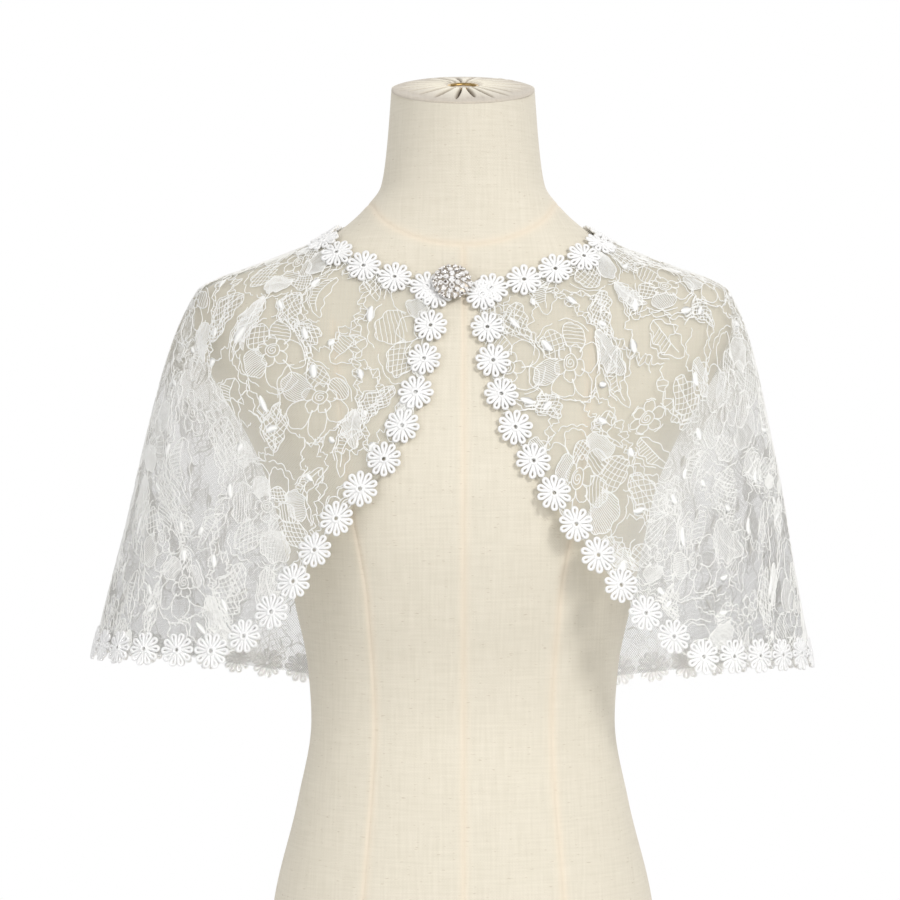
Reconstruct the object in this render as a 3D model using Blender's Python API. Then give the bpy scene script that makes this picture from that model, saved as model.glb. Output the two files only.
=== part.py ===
"""A lace capelet edged with daisy trim, worn open at the front on a limbless dress form.

Metres, +Z up. The form stands on the plane z = 0, with its base centred on the origin, and faces -Y.
An azimuth turns about the form's upright axis: 0 is the front, positive towards +X.
A share runs along a line of the cape: 0 at the neck edge, 1 at the hem.
"""

import math
from collections import namedtuple

import bmesh
import bpy
import numpy as np

# Dress form: level rings, measured from its upright axis
FormRing = namedtuple("FormRing", "height half_width front back squareness")
FORM_RINGS = (
    FormRing(0.000, 0.147, 0.106, 0.116, 2.2),
    FormRing(0.045, 0.150, 0.109, 0.121, 2.2),
    FormRing(0.092, 0.145, 0.105, 0.116, 2.2),
    FormRing(0.168, 0.127, 0.093, 0.097, 2.2),
    FormRing(0.230, 0.1165, 0.084, 0.081, 2.2),
    FormRing(0.270, 0.119, 0.092, 0.083, 2.2),
    FormRing(0.320, 0.129, 0.112, 0.089, 2.3),
    FormRing(0.370, 0.139, 0.127, 0.095, 2.3),
    FormRing(0.405, 0.147, 0.130, 0.099, 2.3),
    FormRing(0.450, 0.166, 0.122, 0.104, 2.4),
    FormRing(0.484, 0.187, 0.108, 0.106, 2.5),
    FormRing(0.511, 0.200, 0.096, 0.104, 2.5),
    FormRing(0.530, 0.206, 0.087, 0.100, 2.5),
    FormRing(0.547, 0.206, 0.079, 0.095, 2.4),
    FormRing(0.557, 0.202, 0.074, 0.091, 2.3),
    FormRing(0.565, 0.189, 0.070, 0.088, 2.2),
    FormRing(0.573, 0.167, 0.067, 0.084, 2.2),
    FormRing(0.584, 0.137, 0.064, 0.079, 2.2),
    FormRing(0.596, 0.109, 0.061, 0.074, 2.1),
    FormRing(0.609, 0.090, 0.059, 0.069, 2.0),
    FormRing(0.622, 0.076, 0.058, 0.064, 2.0),
    FormRing(0.640, 0.063, 0.058, 0.058, 2.0),
    FormRing(0.665, 0.059, 0.060, 0.052, 2.0),
    FormRing(0.712, 0.055, 0.065, 0.045, 2.0),
)
FORM_COLUMNS = 36
NECK_LEAN_FROM = 0.622
NECK_TOP = 0.712
NECK_TOP_TILT = math.radians(17)
SKIN_STEP = 0.001

# Neck cap: gathered cloth disc with an eyelet, lying on the tilted neck top
CAP_INSET = 0.0015
CAP_THICKNESS = 0.0022
CAP_PLEATS = 20
CAP_PLEAT_RISE = 0.0012
CAP_PLEAT_CREST = 0.70
EYELET_RADIUS = 0.0110
EYELET_WIRE = 0.0019
EYELET_SEGMENTS = 16
EYELET_SIDES = 6
EYELET_PLEATING = 0.45
FACE_GAP = 0.0003

# Cape cloth
WALL = 0.0012
CLEARANCE = 0.0012
LIFT = 0.0017
SEAM_GAP = 0.0003
SEAM_AZIMUTH = math.radians(90)
AroundValue = namedtuple("AroundValue", "front right back left blend")
NECK_EDGE = AroundValue(0.563, 0.607, 0.602, 0.607, 1.3)
HEM_EDGE = AroundValue(0.2765, 0.2685, 0.231, 0.2765, 1.25)
FLARE = AroundValue(0.10, 0.168, 0.21, 0.228, 2.0)
STAND_OFF = AroundValue(0.002, 0.011, 0.004, 0.012, 2.0)
STAND_OFF_DROP = 0.030
MERIDIAN_STEPS = 180
TANGENT_TURN = math.radians(1.5)
TANGENT_SHARE = 0.012

# Front opening: half of the gap between the two front edges
EdgeRow = namedtuple("EdgeRow", "height half_gap centre")
FRONT_EDGES = (
    EdgeRow(0.272, 0.178, -0.004),
    EdgeRow(0.284, 0.161, -0.004),
    EdgeRow(0.300, 0.138, -0.004),
    EdgeRow(0.335, 0.108, -0.006),
    EdgeRow(0.376, 0.079, -0.007),
    EdgeRow(0.400, 0.061, -0.006),
    EdgeRow(0.427, 0.042, -0.004),
    EdgeRow(0.476, 0.0195, -0.004),
    EdgeRow(0.527, 0.0090, -0.0035),
    EdgeRow(0.572, 0.0022, -0.003),
)
WIDEST_OPENING = math.radians(80)
EDGE_SAMPLES = 400

# Hanging folds, in degrees round the body: crests stand out, hollows have a negative depth
FOLD_GROWTH = 1.3
Fold = namedtuple("Fold", "azimuth half_width depth start")
FOLDS = (
    Fold(60, 8, 0.005, 0.44),
    Fold(77, 7, -0.004, 0.46),
    Fold(95, 7, 0.005, 0.47),
    Fold(110, 7, -0.006, 0.47),
    Fold(126, 8, 0.009, 0.48),
    Fold(142, 8, -0.008, 0.48),
    Fold(158, 8, 0.009, 0.47),
    Fold(175, 8, -0.007, 0.46),
    Fold(-168, 8, 0.008, 0.46),
    Fold(-151, 8, -0.007, 0.47),
    Fold(-133, 8, 0.009, 0.48),
    Fold(-114, 7, -0.005, 0.47),
    Fold(-95, 8, 0.004, 0.46),
    Fold(-72, 9, 0.010, 0.45),
    Fold(-52, 8, -0.003, 0.43),
)

# Grids of the three cloth panels
NECK_SHARES = (0, 0.035, 0.07, 0.11, 0.16)
SHOULDER_SHARES = (0.20, 0.235, 0.27, 0.305, 0.34, 0.39)
HANGING_SHARES = (0.46, 0.54, 0.64, 0.76, 0.88, 1)
CLOTH_SHARES = NECK_SHARES + SHOULDER_SHARES + HANGING_SHARES
FRONT_COLUMNS = 17
BACK_COLUMNS = 44

# Daisy trim: chains of joined daisies just inside every edge
TRIM_INSET = 0.0118
DAISY_PITCH = 0.0280
DAISY_PETALS = 10
PETAL_TIP_RADIUS = 0.0130
PETAL_NOTCH_RADIUS = 0.0104
PETAL_HALF_WIDTH = 0.0025
TRIM_GAP = 0.0008
TRIM_THICKNESS = 0.0014
DAISY_CENTRE_RISE = 0.0010
FRONT_DAISIES = 11
PITCH_STRETCH = 1.05
PITCH_TRIALS = 80
PATH_SAMPLES = 4000

# Jewelled button, on the corner daisy of the left front
BUTTON_RADIUS = 0.0140
BUTTON_FOOT_RADIUS = 0.0110
BUTTON_RIM_HEIGHT = 0.0016
BUTTON_HEIGHT = 0.0062
BUTTON_COLUMNS = 20
BUTTON_RINGS = 4
BUTTON_BEAD_RISE = 0.0008
BUTTON_X = -0.0085
BUTTON_SHARE = 0.022
BUTTON_SEAT = 0.0033

LINEN = (0.79, 0.74, 0.63, 1)
CAP_LINEN = (0.74, 0.70, 0.61, 1)
BRASS = (0.62, 0.47, 0.22, 1)
LACE = (0.90, 0.90, 0.88, 1)
TRIM_WHITE = (0.95, 0.95, 0.94, 1)
CRYSTAL = (0.86, 0.85, 0.82, 1)


def clear_scene():
    for found in list(bpy.data.objects):
        bpy.data.objects.remove(found)


def material(name, colour, roughness, metallic=0.0):
    made = bpy.data.materials.new(name)
    made.use_nodes = True
    shader = made.node_tree.nodes["Principled BSDF"]
    shader.inputs["Base Color"].default_value = colour
    shader.inputs["Roughness"].default_value = roughness
    shader.inputs["Metallic"].default_value = metallic
    return made


def add_object(name, shape, finish, parent, smooth=True):
    """Turns a closed bmesh into a named object under the parent."""
    bmesh.ops.recalc_face_normals(shape, faces=shape.faces)
    mesh = bpy.data.meshes.new(name)
    shape.to_mesh(mesh)
    shape.free()
    mesh.materials.append(finish)
    if smooth:
        mesh.shade_smooth()
        mesh.set_sharp_from_angle(angle=math.radians(40))
    made = bpy.data.objects.new(name, mesh)
    bpy.context.scene.collection.objects.link(made)
    made.parent = parent
    return made


def smooth_column(rows, column, heights):
    """One column of a table at any heights, on a monotone cubic through its rows."""
    knots = np.array([row.height for row in rows])
    values = np.array([getattr(row, column) for row in rows])
    steps = np.diff(knots)
    slopes = np.diff(values) / steps
    tangents = np.concatenate([slopes[:1], np.zeros(len(slopes) - 1), slopes[-1:]])
    turning = slopes[:-1] * slopes[1:] > 0
    before, after = slopes[:-1][turning], slopes[1:][turning]
    tangents[1:-1][turning] = 2 * before * after / (before + after)
    index = np.clip(np.searchsorted(knots, heights) - 1, 0, len(steps) - 1)
    step = steps[index]
    t = (heights - knots[index]) / step
    rise = values[index] * (1 + 2 * t) * (1 - t) ** 2 + values[index + 1] * t**2 * (3 - 2 * t)
    return rise + step * (tangents[index] * t * (1 - t) ** 2 + tangents[index + 1] * t**2 * (t - 1))


SKIN_HEIGHTS = np.arange(0, NECK_TOP + SKIN_STEP, SKIN_STEP)
SKIN = {
    column: smooth_column(FORM_RINGS, column, np.minimum(SKIN_HEIGHTS, NECK_TOP))
    for column in FormRing._fields[1:]
}


def form_radius(azimuth, heights):
    """Distance of the form's skin from its axis at one azimuth and any heights."""
    half_width, squareness, depth = (
        np.interp(heights, SKIN_HEIGHTS, SKIN[column])
        for column in ("half_width", "squareness", "front" if math.cos(azimuth) > 0 else "back")
    )
    across = abs(math.sin(azimuth)) / half_width
    along = abs(math.cos(azimuth)) / depth
    return (across**squareness + along**squareness) ** (-1 / squareness)


def polar_point(azimuth, radius, height):
    return np.array((radius * math.sin(azimuth), -radius * math.cos(azimuth), height))


def neck_lean(height):
    """Tilt of the form's ring at this height, from level below the neck to the slope of its top."""
    rise = max(0.0, (height - NECK_LEAN_FROM) / (NECK_TOP - NECK_LEAN_FROM))
    return math.tan(NECK_TOP_TILT) * rise * rise


def form_ring(height):
    """Points of one ring of the form, tilted in the neck so that its front is lower."""
    middle = (form_radius(math.pi, height) - form_radius(0, height)) / 2
    points = []
    for column in range(FORM_COLUMNS):
        azimuth = 2 * math.pi * column / FORM_COLUMNS
        point = polar_point(azimuth, form_radius(azimuth, height), height)
        point[2] += (point[1] - middle) * neck_lean(height)
        points.append(point)
    return points


def bridge_rings(shape, rings):
    """Quads between successive closed rings of vertices."""
    for lower, upper in zip(rings, rings[1:]):
        count = len(lower)
        for i in range(count):
            j = (i + 1) % count
            shape.faces.new((lower[i], lower[j], upper[j], upper[i]))


def turned_solid(ring_points):
    """A closed bmesh through rings of points, with a flat face at each end."""
    shape = bmesh.new()
    rings = [[shape.verts.new(point) for point in ring] for ring in ring_points]
    bridge_rings(shape, rings)
    shape.faces.new(rings[0])
    shape.faces.new(rings[-1])
    return shape


def make_form(parent, finish):
    rings = [form_ring(row.height) for row in FORM_RINGS]
    return add_object("form_torso", turned_solid(rings), finish, parent)


def neck_top_frame():
    """Centre of the neck's tilted top, its two in-plane axes and its normal."""
    middle = (form_radius(math.pi, NECK_TOP) - form_radius(0, NECK_TOP)) / 2
    slope = math.atan(neck_lean(NECK_TOP))
    across = np.array((1.0, 0.0, 0.0))
    along = np.array((0.0, math.cos(slope), math.sin(slope)))
    return np.array((0.0, middle, NECK_TOP)), across, along, np.cross(across, along)


def make_neck_cap(parent, finish):
    """A thin disc whose top is gathered into radial pleats that fade out at its rim."""
    centre, across, along, normal = neck_top_frame()
    outer = form_radius(math.pi / 2, NECK_TOP) - CAP_INSET
    columns = 2 * CAP_PLEATS
    rings = []
    for radius, height, pleating in (
        (outer, 0.0, 0.0),
        (outer, CAP_THICKNESS, 0.0),
        (CAP_PLEAT_CREST * outer, CAP_THICKNESS, 1.0),
        (EYELET_RADIUS, CAP_THICKNESS, EYELET_PLEATING),
    ):
        ring = []
        for column in range(columns):
            angle = 2 * math.pi * column / columns
            lift = FACE_GAP + height + (column % 2) * pleating * CAP_PLEAT_RISE
            spoke = radius * (math.cos(angle) * across + math.sin(angle) * along)
            ring.append(centre + spoke + lift * normal)
        rings.append(ring)
    return add_object("form_neck_cap", turned_solid(rings), finish, parent)


def make_eyelet(parent, finish):
    """The ring where the gathers of the neck cap meet."""
    centre, across, along, normal = neck_top_frame()
    seat = 2 * FACE_GAP + CAP_THICKNESS + EYELET_PLEATING * CAP_PLEAT_RISE + EYELET_WIRE
    shape = bmesh.new()
    rings = []
    for segment in range(EYELET_SEGMENTS):
        turn = 2 * math.pi * segment / EYELET_SEGMENTS
        outward = math.cos(turn) * across + math.sin(turn) * along
        ring = []
        for side in range(EYELET_SIDES):
            roll = 2 * math.pi * (side + 0.5) / EYELET_SIDES
            spoke = (EYELET_RADIUS + EYELET_WIRE * math.cos(roll)) * outward
            ring.append(shape.verts.new(centre + spoke + (seat + EYELET_WIRE * math.sin(roll)) * normal))
        rings.append(ring)
    bridge_rings(shape, rings + rings[:1])
    return add_object("form_cap_eyelet", shape, finish, parent)


def around(value, azimuth):
    """Blends the four values of an AroundValue by azimuth."""
    facing = math.cos(azimuth)
    side = value.right if math.sin(azimuth) > 0 else value.left
    weight = abs(facing) ** value.blend
    return weight * (value.front if facing > 0 else value.back) + (1 - weight) * side


def fold_depth(azimuth, heights):
    """How far the hanging folds move the cloth out, growing from each fold's start down to the hem."""
    depth = np.zeros(len(heights))
    hem = around(HEM_EDGE, azimuth)
    for fold in FOLDS:
        turn = (math.degrees(azimuth) - fold.azimuth + 180) % 360 - 180
        fall = np.clip((fold.start - heights) / (fold.start - hem), 0, 1)
        depth += fold.depth * math.exp(-((turn / fold.half_width) ** 2)) * fall**FOLD_GROWTH
    return depth


def meridian(azimuth, shares):
    """Points of the cloth's inner face at one azimuth: it lies on the form, then hangs with its flare."""
    heights = np.linspace(around(NECK_EDGE, azimuth), around(HEM_EDGE, azimuth), MERIDIAN_STEPS)
    on_form = form_radius(azimuth, heights) + CLEARANCE
    drop = heights[:, None] - heights[None, :]
    fall = np.maximum(drop, 0)
    stand_off = around(STAND_OFF, azimuth) * (1 - np.exp(-fall / STAND_OFF_DROP))
    hung = np.where(drop >= 0, on_form[:, None] + around(FLARE, azimuth) * fall + stand_off, 0)
    radius = hung.max(axis=0) + fold_depth(azimuth, heights)
    length = np.concatenate([[0], np.cumsum(np.hypot(np.diff(radius), np.diff(heights)))])
    at = np.asarray(shares) * length[-1]
    return np.stack([np.interp(at, length, radius), np.interp(at, length, heights + LIFT)], axis=1)


# The whole cape as a table of points, one degree by one hundredth of its length
GRID_AZIMUTHS = np.radians(np.arange(-180, 181))
GRID_SHARES = np.linspace(0, 1, 101)
GRID = np.array([meridian(azimuth, GRID_SHARES) for azimuth in GRID_AZIMUTHS])


def cape_points(azimuths, shares):
    """Points of the cloth's inner face. A share just outside 0 to 1 carries the line straight on."""
    turns = (np.asarray(azimuths) + math.pi) % (2 * math.pi)
    column = turns / (GRID_AZIMUTHS[1] - GRID_AZIMUTHS[0])
    row = np.asarray(shares) * (len(GRID_SHARES) - 1)
    i = np.clip(column.astype(int), 0, len(GRID_AZIMUTHS) - 2)
    j = np.clip(np.floor(row).astype(int), 0, len(GRID_SHARES) - 2)
    s, t = (column - i)[:, None], (row - j)[:, None]
    profile = (1 - s) * ((1 - t) * GRID[i, j] + t * GRID[i, j + 1])
    profile += s * ((1 - t) * GRID[i + 1, j] + t * GRID[i + 1, j + 1])
    radius, height = profile.T
    return np.stack([radius * np.sin(azimuths), -radius * np.cos(azimuths), height], axis=1)


def cape_tangents(azimuths, shares):
    """How the cloth's points move with azimuth and with share."""
    ahead, behind = (cape_points(azimuths + step, shares) for step in (TANGENT_TURN, -TANGENT_TURN))
    below, above = (cape_points(azimuths, shares + step) for step in (TANGENT_SHARE, -TANGENT_SHARE))
    return (ahead - behind) / (2 * TANGENT_TURN), (below - above) / (2 * TANGENT_SHARE)


def cape_normals(azimuths, shares):
    by_azimuth, by_share = cape_tangents(azimuths, shares)
    normals = np.cross(by_share, by_azimuth)
    return normals / np.linalg.norm(normals, axis=1)[:, None]


def front_edge_azimuth(share, side):
    """Azimuth of a front edge at this share; side is 1 on the right and -1 on the left."""
    turns = np.linspace(0, WIDEST_OPENING, EDGE_SAMPLES)
    points = cape_points(side * turns, np.full(len(turns), share))
    heights = np.clip(points[:, 2], FRONT_EDGES[0].height, FRONT_EDGES[-1].height)
    centre = smooth_column(FRONT_EDGES, "centre", heights)
    beyond = side * (points[:, 0] - centre) - smooth_column(FRONT_EDGES, "half_gap", heights)
    return side * np.interp(0, beyond, turns)


def panel_grid(start_of, end_of, columns):
    """Azimuths and shares of a panel's points, on rows that run from its start to its end."""
    steps = np.linspace(0, 1, columns + 1)
    starts = np.array([start_of(share) for share in CLOTH_SHARES])[:, None]
    ends = np.array([end_of(share) for share in CLOTH_SHARES])[:, None]
    shares = np.repeat(np.array(CLOTH_SHARES, float)[:, None], columns + 1, axis=1)
    return starts + (ends - starts) * steps, shares


def seam_azimuth(share, side, towards_back):
    """Azimuth of a panel's edge at a shoulder seam, half a seam gap from the seam."""
    radius = np.linalg.norm(cape_points(np.array([side * SEAM_AZIMUTH]), np.array([share]))[0, :2])
    return side * (SEAM_AZIMUTH + (1 if towards_back else -1) * SEAM_GAP / 2 / radius)


def make_panel(name, grid, parent, finish):
    """A cloth wall on a grid of cape points, its outer face moved out along the normals."""
    azimuths, shares = grid
    rows, columns = azimuths.shape
    inner = cape_points(azimuths.ravel(), shares.ravel())
    outer = inner + WALL * cape_normals(azimuths.ravel(), shares.ravel())
    shape = bmesh.new()
    faces = []
    for points in (inner, outer):
        faces.append(np.array([shape.verts.new(point) for point in points], object).reshape(rows, columns))
    for face in faces:
        for i in range(rows - 1):
            for j in range(columns - 1):
                shape.faces.new((face[i, j], face[i, j + 1], face[i + 1, j + 1], face[i + 1, j]))
    rim = [(0, j) for j in range(columns)] + [(i, columns - 1) for i in range(1, rows)]
    rim += [(rows - 1, j) for j in range(columns - 2, -1, -1)] + [(i, 0) for i in range(rows - 2, 0, -1)]
    inner_rim, outer_rim = ([face[place] for place in rim] for face in faces)
    bridge_rings(shape, [inner_rim, outer_rim])
    return add_object(name, shape, finish, parent)


def make_panels(parent, finish):
    for name, side in (("lace_front_right", 1), ("lace_front_left", -1)):
        grid = panel_grid(
            lambda share: seam_azimuth(share, side, False),
            lambda share: front_edge_azimuth(share, side),
            FRONT_COLUMNS,
        )
        make_panel(name, grid, parent, finish)
    grid = panel_grid(
        lambda share: seam_azimuth(share, 1, True),
        lambda share: seam_azimuth(share, -1, True) + 2 * math.pi,
        BACK_COLUMNS,
    )
    make_panel("lace_back", grid, parent, finish)


def offset_on_cape(azimuth, share, along, inward, steps_along, steps_inward):
    """Azimuths and shares of points at distances from a place on the cape, along two directions."""
    target = np.outer(steps_along, along) + np.outer(steps_inward, inward)
    count = len(target)
    azimuths, shares = np.full(count, azimuth), np.full(count, share)
    start = cape_points(azimuths, shares)
    for _ in range(3):
        left = target - (cape_points(azimuths, shares) - start)
        by_azimuth, by_share = cape_tangents(azimuths, shares)
        aa = (by_azimuth**2).sum(1)
        bb = (by_share**2).sum(1)
        ab = (by_azimuth * by_share).sum(1)
        ra, rb = (left * by_azimuth).sum(1), (left * by_share).sum(1)
        bottom = aa * bb - ab * ab
        azimuths = azimuths + (ra * bb - rb * ab) / bottom
        shares = shares + (rb * aa - ra * ab) / bottom
    return azimuths, shares


def unit(vectors):
    return vectors / np.linalg.norm(vectors, axis=-1, keepdims=True)


def inset_path(azimuths, shares, inward_sign):
    """The line TRIM_INSET inside an edge of the cape, as azimuths, shares, points and directions."""
    edge = cape_points(azimuths, shares)
    along = unit(np.gradient(edge, axis=0))
    inward = unit(inward_sign * np.cross(along, cape_normals(azimuths, shares)))
    moved = [
        offset_on_cape(a, s, t, b, [0.0], [TRIM_INSET]) for a, s, t, b in zip(azimuths, shares, along, inward)
    ]
    azimuths, shares = (np.array([place[k][0] for place in moved]) for k in (0, 1))
    return azimuths, shares, cape_points(azimuths, shares)


def even_lengths(points, length, first, last, pitch):
    """Lengths along a path of places one pitch apart, from the first length up to the last."""
    found = [first]
    fine = np.linspace(first, last, PATH_SAMPLES)
    spots = np.stack([np.interp(fine, length, points[:, k]) for k in range(3)], axis=1)
    index = 0
    while True:
        away = np.linalg.norm(spots[index:] - spots[index], axis=1)
        beyond = np.nonzero(away >= pitch)[0]
        if len(beyond) == 0:
            return np.array(found)
        index += beyond[0]
        found.append(fine[index])


def daisies_along(path, inward_sign, margin):
    """Evenly spaced daisies on a path, a margin from its ends: azimuth, share and two directions."""
    azimuths, shares, points = path
    length = np.concatenate([[0], np.cumsum(np.linalg.norm(np.diff(points, axis=0), axis=1))])
    last = length[-1] - margin
    count = len(even_lengths(points, length, margin, last, DAISY_PITCH))
    pitches = np.linspace(DAISY_PITCH, PITCH_STRETCH * DAISY_PITCH, PITCH_TRIALS)
    fits = [even_lengths(points, length, margin, last, pitch) for pitch in pitches]
    at = min((fit for fit in fits if len(fit) == count), key=lambda fit: last - fit[-1])
    found_azimuths, found_shares = np.interp(at, length, azimuths), np.interp(at, length, shares)
    ahead, behind = (
        cape_points(np.interp(at + step, length, azimuths), np.interp(at + step, length, shares))
        for step in (DAISY_PITCH / 2, -DAISY_PITCH / 2)
    )
    along = unit(ahead - behind)
    inward = unit(inward_sign * np.cross(along, cape_normals(found_azimuths, found_shares)))
    return list(zip(found_azimuths, found_shares, along, inward))


def daisy_outline():
    """Corners of a flat daisy along and across the trim: two at each petal's tip and one in each notch."""
    corners = []
    for petal in range(DAISY_PETALS):
        angle = 2 * math.pi * petal / DAISY_PETALS
        for side in (-1, 1):
            corners.append(
                (
                    PETAL_TIP_RADIUS * math.cos(angle) - side * PETAL_HALF_WIDTH * math.sin(angle),
                    PETAL_TIP_RADIUS * math.sin(angle) + side * PETAL_HALF_WIDTH * math.cos(angle),
                )
            )
        notch = angle + math.pi / DAISY_PETALS
        corners.append((PETAL_NOTCH_RADIUS * math.cos(notch), PETAL_NOTCH_RADIUS * math.sin(notch)))
    return corners


def make_trim(name, daisies, parent, finish):
    """A chain of daisies on the cape's outer face, joined where the petals of neighbours meet."""
    outline = daisy_outline() + [(0.0, 0.0)]
    corners = len(outline) - 1
    fore = (0, 1)
    aft = (3 * (DAISY_PETALS // 2), 3 * (DAISY_PETALS // 2) + 1)
    foot = WALL + TRIM_GAP
    shape = bmesh.new()
    before = None
    for index, (azimuth, share, along, inward) in enumerate(daisies):
        steps_along, steps_inward = np.array(outline).T
        places = offset_on_cape(azimuth, share, along, inward, steps_along, steps_inward)
        base, normals = cape_points(*places), cape_normals(*places)
        rises = np.full(len(base), foot + TRIM_THICKNESS)
        rises[-1] += DAISY_CENTRE_RISE
        lower = [shape.verts.new(point) for point in base + foot * normals]
        upper = [shape.verts.new(point) for point in base + rises[:, None] * normals]
        joined = ([fore] if index < len(daisies) - 1 else []) + ([aft] if before else [])
        for i in range(corners):
            j = (i + 1) % corners
            shape.faces.new((upper[i], upper[j], upper[-1]))
            shape.faces.new((lower[j], lower[i], lower[-1]))
            if (i, j) not in joined:
                shape.faces.new((lower[i], lower[j], upper[j], upper[i]))
        if before:
            was_lower, was_upper = before
            a, b, c, d = was_lower[fore[0]], was_lower[fore[1]], lower[aft[0]], lower[aft[1]]
            e, f, g, h = was_upper[fore[0]], was_upper[fore[1]], upper[aft[0]], upper[aft[1]]
            for corner_faces in ((a, b, c, d), (e, h, g, f), (a, d, h, e), (c, b, f, g)):
                shape.faces.new(corner_faces)
        before = (lower, upper)
    return add_object(name, shape, finish, parent, smooth=False)


def outer_edge():
    """The edge from the left neck corner down the left front, round the hem and up the right front."""
    down = np.linspace(0, 1, EDGE_SAMPLES // 4)
    left = np.array([front_edge_azimuth(share, -1) for share in down])
    right = np.array([front_edge_azimuth(share, 1) for share in down])
    hem = np.linspace(left[-1], right[-1] - 2 * math.pi, EDGE_SAMPLES)
    azimuths = np.concatenate([left, hem[1:-1], right[::-1] - 2 * math.pi])
    shares = np.concatenate([down, np.ones(len(hem) - 2), down[::-1]])
    return azimuths, shares


def make_trims(parent, finish):
    left, right = front_edge_azimuth(0, -1), front_edge_azimuth(0, 1)
    neck_azimuths = np.linspace(left, right - 2 * math.pi, EDGE_SAMPLES)
    neck = inset_path(neck_azimuths, np.zeros(len(neck_azimuths)), -1)
    make_trim("trim_neck", daisies_along(neck, -1, TRIM_INSET), parent, finish)

    edge = inset_path(*outer_edge(), 1)
    daisies = daisies_along(edge, 1, TRIM_INSET + DAISY_PITCH)
    make_trim("trim_front_left", daisies[:FRONT_DAISIES], parent, finish)
    make_trim("trim_hem", daisies[FRONT_DAISIES:-FRONT_DAISIES], parent, finish)
    make_trim("trim_front_right", daisies[-FRONT_DAISIES:], parent, finish)


def make_button(parent, finish):
    """A domed button whose crown is raised in beads."""
    turns = np.linspace(-WIDEST_OPENING, WIDEST_OPENING, EDGE_SAMPLES)
    row = cape_points(turns, np.full(len(turns), BUTTON_SHARE))
    azimuth = np.array([np.interp(BUTTON_X, row[:, 0], turns)])
    share = np.array([BUTTON_SHARE])
    normal = cape_normals(azimuth, share)[0]
    across = unit(np.cross(normal, (0.0, 0.0, -1.0)))
    along = np.cross(normal, across)
    seat = cape_points(azimuth, share)[0] + (WALL + BUTTON_SEAT) * normal
    rings = []
    profile = [(BUTTON_FOOT_RADIUS, 0.0, 0.0), (BUTTON_RADIUS, BUTTON_RIM_HEIGHT, 0.0)]
    for ring in range(1, BUTTON_RINGS + 1):
        rise = 0.5 * math.pi * ring / (BUTTON_RINGS + 1)
        height = BUTTON_RIM_HEIGHT + (BUTTON_HEIGHT - BUTTON_RIM_HEIGHT) * math.sin(rise)
        profile.append((BUTTON_RADIUS * math.cos(rise), height, BUTTON_BEAD_RISE))
    for index, (radius, height, bead) in enumerate(profile):
        ring = []
        for column in range(BUTTON_COLUMNS):
            angle = 2 * math.pi * column / BUTTON_COLUMNS
            lift = height + bead * ((column + index) % 2)
            spoke = radius * (math.cos(angle) * across + math.sin(angle) * along)
            ring.append(seat + spoke + lift * normal)
        rings.append(ring)
    return add_object("button", turned_solid(rings), finish, parent, smooth=False)


def main():
    clear_scene()
    root = bpy.data.objects.new("capelet_on_form", None)
    bpy.context.scene.collection.objects.link(root)
    make_form(root, material("linen", LINEN, 0.85))
    make_neck_cap(root, material("cap_linen", CAP_LINEN, 0.85))
    make_eyelet(root, material("eyelet_brass", BRASS, 0.35, 1.0))
    make_panels(root, material("lace", LACE, 0.8))
    make_trims(root, material("trim_thread", TRIM_WHITE, 0.7))
    make_button(root, material("crystal", CRYSTAL, 0.15, 0.4))


main()
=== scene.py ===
import math

import bpy
import numpy as np
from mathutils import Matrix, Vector


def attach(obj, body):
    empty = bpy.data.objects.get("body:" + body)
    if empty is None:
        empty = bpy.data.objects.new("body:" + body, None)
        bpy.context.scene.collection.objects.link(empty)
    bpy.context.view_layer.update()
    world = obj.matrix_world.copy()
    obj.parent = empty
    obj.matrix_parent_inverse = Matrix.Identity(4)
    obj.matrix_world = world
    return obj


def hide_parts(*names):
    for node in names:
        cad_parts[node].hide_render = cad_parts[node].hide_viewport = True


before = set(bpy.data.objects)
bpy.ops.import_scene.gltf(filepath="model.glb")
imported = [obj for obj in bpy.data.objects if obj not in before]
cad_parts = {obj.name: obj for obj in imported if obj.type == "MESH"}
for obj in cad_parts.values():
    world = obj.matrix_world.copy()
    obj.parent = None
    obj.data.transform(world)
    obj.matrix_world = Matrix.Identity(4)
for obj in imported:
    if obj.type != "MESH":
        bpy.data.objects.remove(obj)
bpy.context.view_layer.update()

fullTurn = 2 * math.pi


# node helpers


def connect(tree, node, inputs):
    # links or plain values for a node's inputs
    for label, value in inputs.items():
        socket = node.inputs[label]
        if isinstance(value, bpy.types.NodeSocket):
            tree.links.new(value, socket)
        else:
            socket.default_value = (*value, 1) if socket.type == "RGBA" else value
    return node


def addNode(tree, kind, inputs=None, **settings):
    node = tree.nodes.new(kind)
    for key, value in settings.items():
        setattr(node, key, value)
    return connect(tree, node, inputs or {})


def compute(tree, operation, *values):
    return addNode(tree, "ShaderNodeMath", dict(enumerate(values)), operation=operation).outputs[0]


def blendColours(tree, factor, first, second):
    inputs = {"Factor": factor, "A": first, "B": second}
    return addNode(tree, "ShaderNodeMix", inputs, data_type="RGBA").outputs["Result"]


def newTree(kind, name, inputs, outputs):
    # a node group with its named sockets, empty inside; a number is a float's first value
    tree = bpy.data.node_groups.new(name, kind)
    for way, sockets in (("INPUT", inputs), ("OUTPUT", outputs)):
        for label, value in sockets.items():
            isNumber = isinstance(value, float)
            socketType = "NodeSocket" + ("Float" if isNumber else value)
            socket = tree.interface.new_socket(name=label, in_out=way, socket_type=socketType)
            if isNumber:
                socket.default_value = value
    return tree, tree.nodes.new("NodeGroupInput").outputs, tree.nodes.new("NodeGroupOutput")


# mesh helpers


def quads(index):
    # faces of a grid of points; its rows run down and its columns anticlockwise
    corners = (index[:-1, :-1], index[1:, :-1], index[1:, 1:], index[:-1, 1:])
    return np.stack(corners, axis=-1).reshape(-1, 4)


def gridIndex(rows, columns):
    return np.arange(rows * columns).reshape(rows, columns)


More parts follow.
